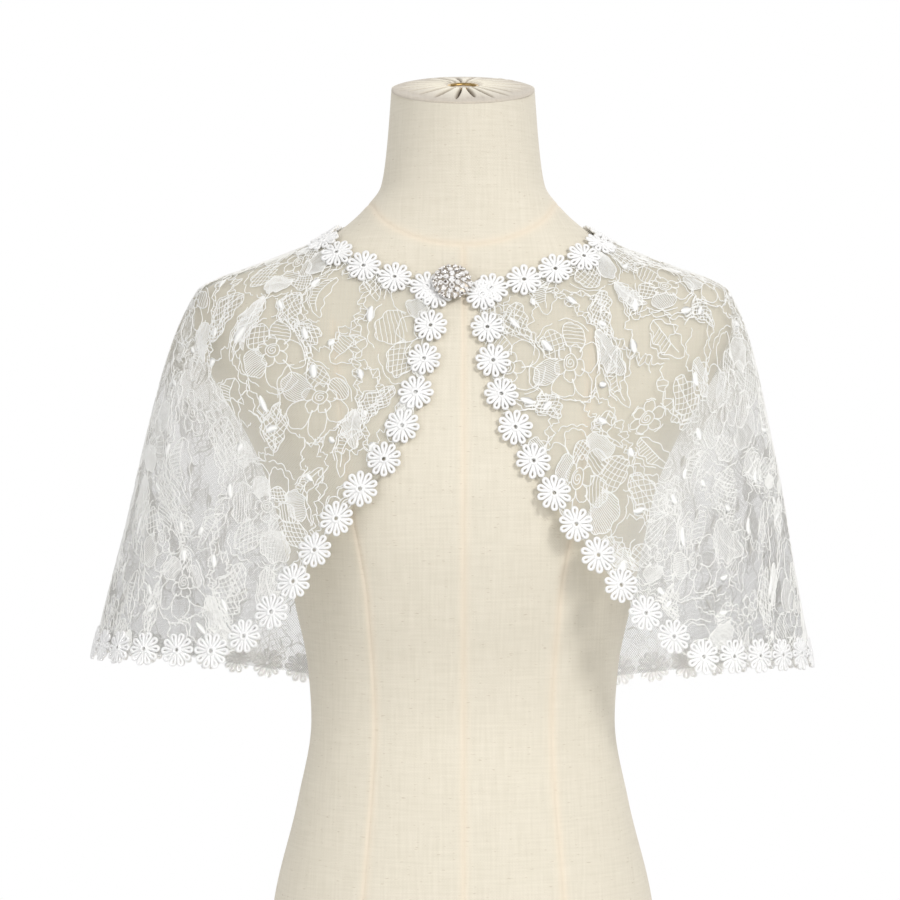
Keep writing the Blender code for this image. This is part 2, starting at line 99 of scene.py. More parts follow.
def solidFaces(rows, columns):
    # rings of points that run upward, and a face across each end
    index = gridIndex(rows, columns)
    walls = quads(np.hstack([index, index[:, :1]]))[:, ::-1]
    return [*walls, index[0, ::-1], index[-1]]


def placeObject(name, data):
    made = bpy.data.objects.new(name, data)
    bpy.context.scene.collection.objects.link(made)
    return made


def meshObject(name, points, edges=(), faces=()):
    mesh = bpy.data.meshes.new(name)
    mesh.from_pydata(np.asarray(points).reshape(-1, 3).tolist(), edges, faces)
    return placeObject(name, mesh)


def newPiece(name, points, faces, material, smooth=True):
    piece = meshObject(name, points, [], [list(map(int, face)) for face in faces])
    piece.data.materials.append(material)
    if smooth:
        piece.data.shade_smooth()
    return piece


def addUv(piece, name, coordinates):
    # one place on the flat cloth for each point
    mesh = piece.data
    corners = np.empty(len(mesh.loops), int)
    mesh.loops.foreach_get("vertex_index", corners)
    layer = mesh.uv_layers.new(name=name)
    layer.data.foreach_set("uv", np.asarray(coordinates, float).reshape(-1, 2)[corners].ravel())


def addAttribute(piece, name, values, domain="POINT", kind="FLOAT"):
    layer = piece.data.attributes.new(name, kind, domain)
    field = "vector" if kind == "FLOAT_VECTOR" else "value"
    layer.data.foreach_set(field, np.asarray(values, float).ravel())


def meshPoints(piece):
    points = np.empty(3 * len(piece.data.vertices))
    piece.data.vertices.foreach_get("co", points)
    return points.reshape(-1, 3)


def movePoints(piece, points):
    piece.data.vertices.foreach_set("co", np.asarray(points, float).ravel())
    piece.data.update()


def unit(vectors):
    return vectors / np.linalg.norm(vectors, axis=-1, keepdims=True)


def ramp(values, start, over):
    return np.clip((values - start) / over, 0, 1)


def bell(distance, width):
    return np.exp(-((distance / width) ** 2))


def polar(radius, angles):
    return np.stack([radius * np.cos(angles), radius * np.sin(angles)], axis=-1)


def ringPoints(radius, angles, height):
    return np.column_stack([polar(radius, angles), np.full(len(angles), height)])


def circle(count):
    return np.linspace(0, fullTurn, count, endpoint=False)


def runLengths(points):
    # length of a line up to each of its points
    return np.concatenate([[0], np.cumsum(np.linalg.norm(np.diff(points, axis=0), axis=1))])


# geometry node trees


def runTree(piece, tree, **values):
    # gives the piece the tree's result as a plain mesh
    modifier = piece.modifiers.new(tree.name, "NODES")
    modifier.node_group = tree
    for socket in tree.interface.items_tree:
        if socket.in_out == "INPUT" and socket.name in values:
            modifier[socket.identifier] = values[socket.name]
    bpy.context.view_layer.update()
    evaluated = piece.evaluated_get(bpy.context.evaluated_depsgraph_get())
    mesh = bpy.data.meshes.new_from_object(evaluated)
    piece.modifiers.clear()
    old = piece.data
    piece.data = mesh
    mesh.name = piece.name
    bpy.data.meshes.remove(old)
    return piece


def geometryTree(name, inputs):
    shape = {"Geometry": "Geometry"}
    return newTree("GeometryNodeTree", name, {**shape, **inputs, "Finish": "Material"}, shape)


def namedValue(tree, name, kind):
    named = addNode(tree, "GeometryNodeInputNamedAttribute", {"Name": name}, data_type=kind)
    return named.outputs["Attribute"]


def endTree(tree, end, geometry, material):
    # one plain mesh with its material
    whole = addNode(tree, "GeometryNodeRealizeInstances", {"Geometry": geometry})
    inputs = {"Geometry": whole.outputs["Geometry"], "Material": material}
    finish = addNode(tree, "GeometryNodeSetMaterial", inputs)
    connect(tree, end, {"Geometry": finish.outputs["Geometry"]})
    return tree


def makeThreadTree():
    # tubes along loose edges, as thick as their threadRadius says
    tree, given, end = geometryTree("threadTubes", {"Sides": "Int"})
    curve = addNode(tree, "GeometryNodeMeshToCurve", {"Mesh": given["Geometry"]})
    ring = addNode(tree, "GeometryNodeCurvePrimitiveCircle", {"Resolution": given["Sides"], "Radius": 1.0})
    inputs = {
        "Curve": curve.outputs["Curve"],
        "Profile Curve": ring.outputs["Curve"],
        "Scale": namedValue(tree, "threadRadius", "FLOAT"),
        "Fill Caps": True,
    }
    tube = addNode(tree, "GeometryNodeCurveToMesh", inputs)
    smooth = addNode(tree, "GeometryNodeSetShadeSmooth", {"Geometry": tube.outputs["Mesh"]})
    return endTree(tree, end, smooth.outputs["Geometry"], given["Finish"])


def makeScatterTree():
    # one shape on every point, turned to the point's facing and sized by its own size
    tree, given, end = geometryTree("scatterShapes", {"Shape": "Object"})
    shape = addNode(tree, "GeometryNodeObjectInfo", {"Object": given["Shape"]})
    facing, along, size = (namedValue(tree, name, "FLOAT_VECTOR") for name in ("facing", "along", "size"))
    upright = addNode(tree, "FunctionNodeAlignRotationToVector", {"Vector": facing}, axis="Z")
    inputs = {"Rotation": upright.outputs["Rotation"], "Vector": along}
    turned = addNode(tree, "FunctionNodeAlignRotationToVector", inputs, axis="X", pivot_axis="Z")
    inputs = {
        "Points": given["Geometry"],
        "Instance": shape.outputs["Geometry"],
        "Rotation": turned.outputs["Rotation"],
        "Scale": size,
    }
    copies = addNode(tree, "GeometryNodeInstanceOnPoints", inputs)
    return endTree(tree, end, copies.outputs["Instances"], given["Finish"])


threadTree = makeThreadTree()
scatterTree = makeScatterTree()
print("node trees ready")


def scatter(name, shape, points, material, **directions):
    piece = meshObject(name, points)
    for label in ("facing", "along", "size"):
        addAttribute(piece, label, directions[label], kind="FLOAT_VECTOR")
    return runTree(piece, scatterTree, Shape=shape, Finish=material)


def threadPiece(name, lines, radii, material, sides):
    # loose edges along every line, then tubes on them
    ends = np.cumsum([len(line) for line in lines])
    before = np.setdiff1d(np.arange(ends[-1]), ends - 1)
    piece = meshObject(name, np.vstack(lines), np.stack([before, before + 1], axis=1).tolist())
    thickness = [np.full(len(line), radius) for line, radius in zip(lines, radii)]
    addAttribute(piece, "threadRadius", np.concatenate(thickness))
    return runTree(piece, threadTree, Sides=sides, Finish=material)


# effects that several materials share


def noiseNode(tree, place, scale, detail=2.0):
    return addNode(tree, "ShaderNodeTexNoise", {"Vector": place, "Scale": scale, "Detail": detail}).outputs


def stretchedNoise(tree, place, stretch, detail):
    mapping = addNode(tree, "ShaderNodeMapping", {"Vector": place, "Scale": stretch})
    return noiseNode(tree, mapping.outputs[0], 1.0, detail)["Fac"]


def wandering(tree, place, scale, detail, reach):
    # across and down a cloth whose threads stray a little
    noise = noiseNode(tree, place, scale, detail)
    inputs = {0: noise["Color"], 1: (reach, reach, 0.0), 2: place}
    moved = addNode(tree, "ShaderNodeVectorMath", inputs, operation="MULTIPLY_ADD")
    split = addNode(tree, "ShaderNodeSeparateXYZ", {"Vector": moved.outputs[0]})
    return split.outputs["X"], split.outputs["Y"]


def shaderTree(name, inputs, outputs):
    return newTree("ShaderNodeTree", name, {"Vector": "Vector", **inputs}, dict.fromkeys(outputs, "Float"))


def makeWeaveGroup():
    # plain weave with uneven threads, on cloth coordinates in metres
    tree, given, end = shaderTree("linenWeave", {"Pitch": 0.001, "Slub": 0.5}, ("Height", "Shade"))
    strayed = wandering(tree, given["Vector"], scale=140.0, detail=2.0, reach=0.0032)
    ways = [compute(tree, "DIVIDE", way, given["Pitch"]) for way in strayed]
    waves = [compute(tree, "SINE", compute(tree, "MULTIPLY", way, math.pi)) for way in ways]
    warp, weft = (compute(tree, "ABSOLUTE", wave) for wave in waves)
    cell = compute(tree, "ADD", *(compute(tree, "FLOOR", way) for way in ways))
    over = compute(tree, "FLOORED_MODULO", cell, 2.0)
    height = compute(tree, "ADD", compute(tree, "MULTIPLY", warp, over), weft)
    stretches = ((520.0, 30.0, 1.0), (34.0, 560.0, 1.0))
    slubs = [stretchedNoise(tree, given["Vector"], stretch, 2.0) for stretch in stretches]
    uneven = compute(tree, "MULTIPLY", compute(tree, "ADD", *slubs), given["Slub"])
    shade = compute(tree, "MULTIPLY_ADD", height, 0.10, uneven)
    connect(tree, end, {"Height": compute(tree, "ADD", height, uneven), "Shade": shade})
    return tree


def makeNetGroup():
    # fine diamond net: 1 on its threads and 0 in its holes
    tree, given, end = shaderTree("diamondNet", {"Pitch": 0.002, "Thread": 0.25}, ("Mask", "Round"))
    across, down = wandering(tree, given["Vector"], scale=90.0, detail=1.0, reach=0.0016)
    lean = compute(tree, "MULTIPLY", down, 0.62)  # diamonds, longer than wide
    rounds = []
    for way in ("ADD", "SUBTRACT"):
        place = compute(tree, "DIVIDE", compute(tree, way, across, lean), given["Pitch"])
        away = compute(tree, "ABSOLUTE", compute(tree, "SUBTRACT", compute(tree, "FRACT", place), 0.5))
        rounds.append(compute(tree, "SUBTRACT", 1.0, compute(tree, "DIVIDE", away, given["Thread"])))
    height = compute(tree, "MAXIMUM", *rounds)
    mask = compute(tree, "GREATER_THAN", height, 0.5)
    connect(tree, end, {"Mask": mask, "Round": compute(tree, "MAXIMUM", height, 0.0)})
    return tree


def makeTwistGroup():
    # soft uneven light and dark of twisted thread
    tree, given, end = shaderTree("threadTwist", {"Scale": 900.0}, ("Height", "Shade"))
    fine = noiseNode(tree, given["Vector"], given["Scale"])["Fac"]
    broad = noiseNode(tree, given["Vector"], scale=40.0)["Fac"]
    connect(tree, end, {"Height": fine, "Shade": compute(tree, "MULTIPLY_ADD", fine, 0.6, broad)})
    return tree


weaveGroup = makeWeaveGroup()
netGroup = makeNetGroup()
twistGroup = makeTwistGroup()
bumpDistance = 0.0003


def useGroup(tree, group, place, **values):
    return addNode(tree, "ShaderNodeGroup", {"Vector": place, **values}, node_tree=group).outputs


surfaceInputs = {
    "roughness": "Roughness",
    "metallic": "Metallic",
    "sheen": "Sheen Weight",
    "sheenRoughness": "Sheen Roughness",
    "coat": "Coat Weight",
    "coatRoughness": "Coat Roughness",
}


def newMaterial(name, look):
    made = bpy.data.materials.new(name)
    made.use_nodes = True
    shader = made.node_tree.nodes["Principled BSDF"]
    given = {socket: look[label] for label, socket in surfaceInputs.items() if label in look}
    connect(made.node_tree, shader, given)
    return made, made.node_tree, shader


def coordinates(tree, uvName=None):
    if uvName:
        return addNode(tree, "ShaderNodeUVMap", uv_map=uvName).outputs["UV"]
    return addNode(tree, "ShaderNodeTexCoord").outputs["Object"]


def pieceValue(tree, name):
    return addNode(tree, "ShaderNodeAttribute", attribute_name=name).outputs["Fac"]


def addBump(tree, shader, height, strength):
    inputs = {"Height": height, "Strength": strength, "Distance": bumpDistance}
    connect(tree, shader, {"Normal": addNode(tree, "ShaderNodeBump", inputs).outputs["Normal"]})


def threadMaterial(name, look):
    made, tree, shader = newMaterial(name, look)
    twist = useGroup(tree, twistGroup, coordinates(tree), Scale=look["twist"])
    spread = compute(tree, "SUBTRACT", twist["Shade"], look["darker"])
    connect(tree, shader, {"Base Color": blendColours(tree, spread, look["dark"], look["light"])})
    addBump(tree, shader, twist["Height"], look["bump"])
    return made


def netMaterial(name, look):
    made, tree, shader = newMaterial(name, look)
    place = coordinates(tree, "cut")
    net = useGroup(tree, netGroup, place, Pitch=look["pitch"], Thread=look["thread"])
    twist = useGroup(tree, twistGroup, place, Scale=look["twist"])
    colour = blendColours(tree, twist["Shade"], look["dark"], look["light"])
    # painted light and shade: a warm tint where the net lies near the form, a grey one where it hangs clear
    # of it
    for label in ("nearForm", "hanging"):
        colour = blendColours(tree, pieceValue(tree, label), colour, look[label])
    # light filters through thin threads, so their shadow is only part of them
    ray = addNode(tree, "ShaderNodeLightPath").outputs["Is Shadow Ray"]
    solid = compute(tree, "MULTIPLY_ADD", ray, look["shadow"] - 1.0, 1.0)
    alpha = compute(tree, "MULTIPLY", net["Mask"], solid)
    connect(tree, shader, {"Base Color": colour, "Alpha": alpha})
    addBump(tree, shader, net["Round"], look["bump"])
    return made


def linenMaterial(name, look):
    # woven cotton with darker flecks, a warm line along the seams, painted light on the cap's raised folds,
    # and painted shade in seam dents and between folds
    made, tree, shader = newMaterial(name, look)
    place = coordinates(tree, "cloth")
    weave = useGroup(tree, weaveGroup, place, Pitch=look["pitch"], Slub=look["slub"])
    lit = compute(tree, "MULTIPLY_ADD", weave["Shade"], *look["contrast"])
    colour = blendColours(tree, lit, look["dark"], look["light"])
    noise = stretchedNoise(tree, place, look["fleckScale"], 1.0)
    low, high, most = look["fleckRange"]
    inputs = {"Value": noise, "From Min": low, "From Max": high, "To Max": most}
    spot = addNode(tree, "ShaderNodeMapRange", inputs).outputs["Result"]
    # a warm seam line on the form; on the cap, painted light on the raised folds
    warm = compute(tree, "MULTIPLY", pieceValue(tree, "seamTint"), look["seamAndRidgeLightStrength"])
    for factor, label in ((spot, "fleck"), (warm, "seam"), (pieceValue(tree, "foldShade"), "paintedShade")):
        colour = blendColours(tree, factor, colour, look[label])
    connect(tree, shader, {"Base Color": colour})
    addBump(tree, shader, weave["Height"], look["bump"])
    return made


def metalMaterial(name, look):
    made, tree, shader = newMaterial(name, look)
    noise = noiseNode(tree, coordinates(tree), scale=320.0, detail=3.0)["Fac"]
    colour = blendColours(tree, noise, look["dark"], look["light"])
    spread = 0.2  # of the roughness, about its mean
    rough = compute(tree, "MULTIPLY_ADD", noise, spread, look["roughness"] - 0.5 * spread)
    connect(tree, shader, {"Base Color": colour, "Roughness": rough})
    return made


def stoneMaterial(name, look):
    # cut stones with painted reflections: each facet gets its own random share of light and dark
    made, tree, shader = newMaterial(name, look)
    tones = addNode(tree, "ShaderNodeValToRGB", {"Fac": pieceValue(tree, "facetShade")})
    tones.color_ramp.elements.new(look["middleAt"])
    for element, label in zip(tones.color_ramp.elements, ("dark", "middle", "light")):
        element.color = (*look[label], 1)
    connect(tree, shader, {"Base Color": tones.outputs["Color"]})
    return made


netLook = {
    "pitch": 0.0014,
    "thread": 0.23,
    "shadow": 0.4,  # share of the net that still casts a shadow
    "twist": 300.0,
    "roughness": 0.75,
    "sheen": 0.15,
    "bump": 0.4,
    # the net's grey is partly painted shade: white thread darkened for the shade on its thin round threads
    "dark": (0.60, 0.60, 0.59),
    "light": (0.73, 0.73, 0.72),
    # painted warm light from the form, where the net lies close to it
    "nearForm": (0.66, 0.635, 0.54),
    # painted shade where the net hangs clear of the form
    "hanging": (0.41, 0.41, 0.405),
}
linenLook = {
    "pitch": 0.0011,
    "slub": 0.48,
    "contrast": (1.5, -0.55),  # of the weave
    "fleckScale": (190.0, 820.0, 1.0),
    "fleckRange": (0.69, 0.76, 0.5),  # where flecks start and end, and how strong they are
    "roughness": 0.88,
    "sheen": 0.12,
    "sheenRoughness": 0.5,
    "bump": 0.14,
    "dark": (0.66, 0.611, 0.504),
    "light": (0.80, 0.749, 0.642),
    "fleck": (0.42, 0.34, 0.24),
    "seam": (0.86, 0.73, 0.57),
    "seamAndRidgeLightStrength": 0.42,
    # painted shade in the seam dents and between the cap's folds
    "paintedShade": (0.14, 0.09, 0.04),
}
capLook = {
    **linenLook,
    "dark": (0.53, 0.48, 0.41),
    "light": (0.68, 0.62, 0.535),
    # on the cap this tint is painted light on the raised folds
    "seam": (0.92, 0.87, 0.74),
    "seamAndRidgeLightStrength": 0.8,
}
cordLook = {
    "dark": (0.86, 0.86, 0.84),
    "light": (0.96, 0.96, 0.94),
    "darker": 0.35,  # moves the blend towards the dark tone
    "twist": 700.0,
    "roughness": 0.6,
    "sheen": 0.2,
    "sheenRoughness": 0.4,
    "bump": 0.35,
}
daisyLook = {
    **cordLook,
    "dark": (0.82, 0.82, 0.82),
    "light": (0.93, 0.93, 0.93),
    "twist": 900.0,
    "sheen": 0.15,
}
brassLook = {"dark": (0.24, 0.15, 0.05), "light": (0.52, 0.36, 0.14), "roughness": 0.40, "metallic": 1.0}
silverLook = {"dark": (0.72, 0.70, 0.68), "light": (0.95, 0.94, 0.93), "roughness": 0.25, "metallic": 1.0}
backLook = {"dark": (0.22, 0.18, 0.14), "light": (0.60, 0.55, 0.48), "roughness": 0.45, "metallic": 1.0}
stoneLook = {
    "roughness": 0.06,
    "metallic": 0.35,
    "coat": 0.6,
    "coatRoughness": 0.03,
    # painted reflections of the cut stones, dark to white
    "dark": (0.10, 0.07, 0.05),
    "middle": (0.88, 0.86, 0.84),
    "middleAt": 0.25,
    "light": (0.98, 0.98, 0.99),
}

laceNet = netMaterial("lace_net", netLook)
cordWhite = threadMaterial("lace_cord", cordLook)
daisyWhite = threadMaterial("daisy_thread", daisyLook)
formLinen = linenMaterial("form_linen", linenLook)
capLinen = linenMaterial("gathered_linen", capLook)
brass = metalMaterial("worn_brass", brassLook)
silver = metalMaterial("button_silver", silverLook)
darkSilver = metalMaterial("button_back", backLook)
crystal = stoneMaterial("cut_stone", stoneLook)
print("materials ready")


# the form that the cape rests on

formRings = (  # height, half width, front, back, squareness
    (0.000, 0.147, 0.106, 0.116, 2.2),
    (0.045, 0.150, 0.109, 0.121, 2.2),
    (0.092, 0.145, 0.105, 0.116, 2.2),
    (0.168, 0.127, 0.093, 0.097, 2.2),
    (0.230, 0.1165, 0.084, 0.081, 2.2),
    (0.270, 0.119, 0.092, 0.083, 2.2),
    (0.320, 0.129, 0.112, 0.089, 2.3),
    (0.370, 0.139, 0.127, 0.095, 2.3),
    (0.405, 0.147, 0.130, 0.099, 2.3),
    (0.450, 0.166, 0.122, 0.104, 2.4),
    (0.484, 0.187, 0.108, 0.106, 2.5),
    (0.511, 0.200, 0.096, 0.104, 2.5),
    (0.530, 0.206, 0.087, 0.100, 2.5),
    (0.547, 0.206, 0.079, 0.095, 2.4),
    (0.557, 0.202, 0.074, 0.091, 2.3),
    (0.565, 0.189, 0.070, 0.088, 2.2),
    (0.573, 0.167, 0.067, 0.084, 2.2),
    (0.584, 0.137, 0.064, 0.079, 2.2),
    (0.596, 0.109, 0.061, 0.074, 2.1),
    (0.609, 0.090, 0.059, 0.069, 2.0),
    (0.622, 0.076, 0.058, 0.064, 2.0),
    (0.640, 0.063, 0.058, 0.058, 2.0),
    (0.665, 0.059, 0.060, 0.052, 2.0),
    (0.712, 0.055, 0.065, 0.045, 2.0),
)
neck = {"leanFrom": 0.622, "top": 0.712, "tilt": math.radians(17)}


def smoothColumn(table, column, at):
    # monotone cubic through one column of a table, over its first
    knots, values = np.array(table)[:, [0, column]].T
    steps = np.diff(knots)
    slopes = np.diff(values) / steps
    tangents = np.concatenate([slopes[:1], np.zeros(len(slopes) - 1), slopes[-1:]])
    turning = slopes[:-1] * slopes[1:] > 0
    before, after = slopes[:-1][turning], slopes[1:][turning]
    tangents[1:-1][turning] = 2 * before * after / (before + after)
    index = np.clip(np.searchsorted(knots, at) - 1, 0, len(steps) - 1)
    step = steps[index]
    t = (at - knots[index]) / step
    rise = values[index] * (1 + 2 * t) * (1 - t) ** 2 + values[index + 1] * t**2 * (3 - 2 * t)
    return rise + step * (tangents[index] * t * (1 - t) ** 2 + tangents[index + 1] * t**2 * (t - 1))


skinStep = 0.001
skinHeights = np.arange(0, neck["top"] + skinStep, skinStep)
skin = [smoothColumn(formRings, column, skinHeights) for column in range(1, 5)]


def formRadius(azimuths, heights):
    halfWidth, front, back, squareness = (np.interp(heights, skinHeights, column) for column in skin)
    across = np.abs(np.sin(azimuths)) / halfWidth
    along = np.abs(np.cos(azimuths)) / np.where(np.cos(azimuths) > 0, front, back)
    return (across**squareness + along**squareness) ** (-1 / squareness)


def formMiddle(heights):
    return (formRadius(np.pi, heights) - formRadius(0.0, heights)) / 2


def formPoints(azimuths, heights, proud):
    # the rings of the neck tilt more and more towards its sloping top
    radius = formRadius(azimuths, heights) + proud
    rise = np.maximum(0, (heights - neck["leanFrom"]) / (neck["top"] - neck["leanFrom"]))
    depth = -radius * np.cos(azimuths)
    lean = math.tan(neck["tilt"]) * rise**2
    tilted = heights + (depth - formMiddle(heights)) * lean
    return np.stack([radius * np.sin(azimuths), depth, tilted], axis=-1)


formCover = {
    "rowStep": 0.0045,
    "neckRowStep": 0.0022,
    "columnsBetweenSeams": 14,
    "besideSeam": (0.0008, 0.0018, 0.0036, 0.0070),
    "besideLimit": 0.18,  # share of the way to the next seam that these columns may take
    "seamDepth": 0.0005,
    "seamWidth": 0.0011,
    "tintWidth": 0.0032,
    "seamShade": 0.06,
    "neckSeam": (0.5915, 0.6255, 0.6300),  # height at the front, sides and back
    "neckSeamZone": (0.535, 0.668),
    "swing": (0.66, 1.2, 0.04),  # reach, power and softness of the neck seam's dip
    "seamEnd": 0.53,  # height where the shaped seams start to fade
    "seamFade": 0.03,
    "widest": 0.62,  # share of the half width that a shaped seam may reach
    "sharpAngle": math.radians(50),
}
shapedSeam = (  # height, distance of the front shaped seam from the middle
    (0.000, 0.083),
    (0.114, 0.0735),
    (0.232, 0.066),
    (0.3275, 0.071),
    (0.400, 0.083),
    (0.500, 0.094),
    (0.587, 0.100),
    (0.712, 0.100),
)


def seamTurns(heights, back, settings):
    # azimuth where the shaped seam, an upright curve, meets the form at each height
    turns = np.linspace(0, 0.5 * math.pi, 240)
    facing = math.pi - turns if back else turns
    found = []
    for height, reach in zip(heights, smoothColumn(shapedSeam, 1, heights)):
        widths = formRadius(facing, height) * np.sin(turns)
        found.append(np.interp(min(reach, settings["widest"] * widths.max()), widths, turns))
    return math.pi - np.array(found) if back else np.array(found)


def formRows(settings):
    # heights of the cover's rows, and how far each one bends along with the neck seam
    sides = settings["neckSeam"][1]
    low, high = settings["neckSeamZone"]
    beside = np.array(settings["besideSeam"])
    first, last = sides - beside[-1], sides + beside[-1]
    below = np.arange(0, low, settings["rowStep"])
    toSeam = np.arange(low, first, settings["neckRowStep"])
    fromSeam = np.arange(last, high, settings["neckRowStep"])
    above = np.arange(high, neck["top"] - skinStep, settings["rowStep"])
    seam = np.concatenate([sides - beside[::-1], [sides], sides + beside])
    rows = np.concatenate([below, toSeam, seam, fromSeam[1:], above, [neck["top"]]])
    return rows, np.interp(rows, (low, first, last, high), (0, 1, 1, 0))


def formColumns(rows, settings):
    # azimuths of the cover's columns, close beside the seams, and how far they are from a seam
    level = np.zeros(len(rows))
    quarter = 0.5 * math.pi
    front, back = seamTurns(rows, False, settings), seamTurns(rows, True, settings)
    seams = [level, front, level + quarter, back, level + math.pi]
    seams += [fullTurn - back, level + 3 * quarter, fullTurn - front, level + fullTurn]
    beside = settings["besideSeam"]
    middle = np.linspace(0, 1, settings["columnsBetweenSeams"] + 1)[1:-1]
    columns, away = [], []
    for before, after in zip(seams, seams[1:]):
        radius = formRadius(before, rows)
        limit = settings["besideLimit"] * (after - before)
        near = [np.minimum(step / radius, limit * (k + 1) / len(beside)) for k, step in enumerate(beside)]
        start, end = before + near[-1], after - near[-1]
        run = [before] + [before + step for step in near]
        run += [start + (end - start) * share for share in middle]
        run += [after - step for step in near[::-1]]
        columns += run
        away += [np.minimum(np.abs(line - before), np.abs(after - line)) * radius for line in run]
    return np.stack(columns, axis=1), np.stack(away, axis=1)


def makeFormCover(settings):
    rows, bend = formRows(settings)
    azimuths, away = formColumns(rows, settings)
    facing = np.cos(azimuths)
    front, sides, back = settings["neckSeam"]
    reach, power, softness = settings["swing"]
    swing = 1 - ((1 - np.abs(facing)) / reach) ** power
    swing = 0.5 * (swing + np.sqrt(swing**2 + softness))  # runs out softly at the sides
    heights = rows[:, None] + bend[:, None] * swing * np.where(facing > 0, front - sides, back - sides)
    fromCollar = np.abs(rows - sides)[:, None] + np.zeros_like(azimuths)
    shaped = (np.abs(facing) > 0.02) & (np.abs(facing) < 0.995)  # not the middle and side seams
    above = ramp(heights, settings["seamEnd"], settings["seamFade"]) * shaped + (rows > sides)[:, None]
    near = np.minimum(away + 0.02 * above, fromCollar)
    dent = bell(near, settings["seamWidth"])
    points = formPoints(azimuths, heights, -settings["seamDepth"] * dent)
    around = np.cumsum(np.linalg.norm(np.diff(points, axis=1, prepend=points[:, :1]), axis=2), axis=1)
    around -= np.where(azimuths > math.pi, around[:, -1:], 0)  # measured both ways from the front
    piece = newPiece("form_cover", points, solidFaces(*azimuths.shape), formLinen)
    addUv(piece, "cloth", np.stack([around, points[:, :, 2]], axis=-1))
    addAttribute(piece, "seamTint", bell(near, settings["tintWidth"]))
    addAttribute(piece, "foldShade", settings["seamShade"] * dent)
    piece.data.set_sharp_from_angle(angle=settings["sharpAngle"])
    return piece


cap = {
    "inset": 0.0003,
    "pleats": 20,
    "stepsInPleat": 14,
    "uneven": 0.05,  # how far the pleats stray from even, in radians
    "rim": (1.0, 1.0, 0.985, 0.95),  # shares of the radius, then those of the gathers
    "gathers": np.linspace(0.90, 0.14, 30),
    "bodyAt": (0.14, 0.18, 0.23, 0.34, 0.94, 0.985, 1.0),
    "body": (0.0008, 0.0024, 0.0036, 0.0028, 0.0022, 0.0016, 0.0009),
    "pleatRise": 0.0024,
    "wedgeTip": (0.76, 0.95),
    "wedgeWidth": (0.26, 0.44),
    "wedgeWidest": 0.40,  # share of the radius where a wedge has its full width
    "wedgeRoot": (0.20, 0.10),
    "wedgeBlur": 0.03,
    "wedgeShade": 0.92,
    "floor": 0.0001,
    "sharpAngle": math.radians(60),
    "ringRadius": 0.0114,
    "ringWire": 0.0017,
    "ringSeat": 0.0026,
    "ringSteps": (14, 72),  # round the wire and round the ring
    "ringDents": (0.06, 11),  # depth and number
    "seed": 4,
}


def neckFrame(angles):
    # centre and normal of the neck's top, and spokes from the centre
    centre = np.array((0.0, float(formMiddle(neck["top"])), neck["top"]))
    across = np.array((1.0, 0.0, 0.0))
    along = np.array((0.0, math.cos(neck["tilt"]), math.sin(neck["tilt"])))
    spokes = np.cos(angles)[:, None] * across + np.sin(angles)[:, None] * along
    return centre, spokes, np.cross(across, along)


def makeCap(settings):
    # gathered disc: raised folds with painted light on their crests and painted shade in the wedges between
    # them, widest near the ring
    chance = np.random.default_rng(settings["seed"])
    pleats, steps = settings["pleats"], settings["stepsInPleat"]
    spots = np.arange(pleats * steps) / steps
    angles = fullTurn * spots / pleats + settings["uneven"] * np.sin(3 * fullTurn * spots / pleats)
    centre, spokes, normal = neckFrame(angles)
    inPleat = np.abs(spots % 1 - 0.5)  # 0 in the middle of a wedge, 0.5 in the middle of a fold
    tips = np.repeat(chance.uniform(*settings["wedgeTip"], pleats), steps)
    widths = np.repeat(chance.uniform(*settings["wedgeWidth"], pleats), steps)
    outer = float(formRadius(0.5 * np.pi, neck["top"])) - settings["inset"]
    reach = np.concatenate([settings["rim"], settings["gathers"]])
    body = np.interp(reach, settings["bodyAt"], settings["body"])
    body[0] = settings["floor"]
    crest = np.sin(math.pi * np.minimum(inPleat + 0.12, 0.5)) ** 0.5
    points, shade, ridgeLight = [], [], []
    for share, lift in zip(reach, body):
        gape = ramp(-share, -tips, tips - settings["wedgeWidest"]) ** 0.8
        gape *= ramp(share, *settings["wedgeRoot"])
        edge = np.exp((inPleat - 0.5 * widths * gape) / settings["wedgeBlur"])
        wedge = 1 / (1 + edge) * np.minimum(1, 3 * gape)
        swell = settings["pleatRise"] * gape**0.6 * crest
        height = np.maximum(lift + swell - (swell + 0.8 * lift) * wedge, settings["floor"])
        points.append(centre + share * outer * spokes + height[:, None] * normal)
        shade.append(wedge)
        ridgeLight.append(gape * (1 - wedge))
    piece = newPiece("gathered_neck_cap", points, solidFaces(len(reach), len(spots)), capLinen)
    addUv(piece, "cloth", reach[:, None, None] * outer * polar(1.0, angles))
    # painted light on the folds' crests and painted shade in the wedges between them
    addAttribute(piece, "seamTint", ridgeLight)
    addAttribute(piece, "foldShade", settings["wedgeShade"] * np.array(shade))
    piece.data.set_sharp_from_angle(angle=settings["sharpAngle"])
    return piece


def makeEyelet(settings):
    rolls, turns = (circle(count) for count in settings["ringSteps"])
    centre, spokes, normal = neckFrame(turns)
    depth, dents = settings["ringDents"]
    wire = settings["ringWire"] * (1 + depth * np.sin(dents * turns))
    rings = []
    for roll in rolls:
        reach = settings["ringRadius"] + wire * math.cos(roll)
        lift = settings["ringSeat"] + settings["ringWire"] * math.sin(roll)
        rings.append(centre + reach[:, None] * spokes + lift * normal)
    faces = quads(np.pad(gridIndex(*settings["ringSteps"]), (0, 1), "wrap").T)
    return newPiece("cap_eyelet_ring", rings, faces, brass)


formPiece = makeFormCover(formCover)
capPiece = makeCap(cap)
eyeletPiece = makeEyelet(cap)
print("form, cap and eyelet made")


# the cape's surface: an azimuth turns from the front towards +X, a share runs from the neck edge to the hem

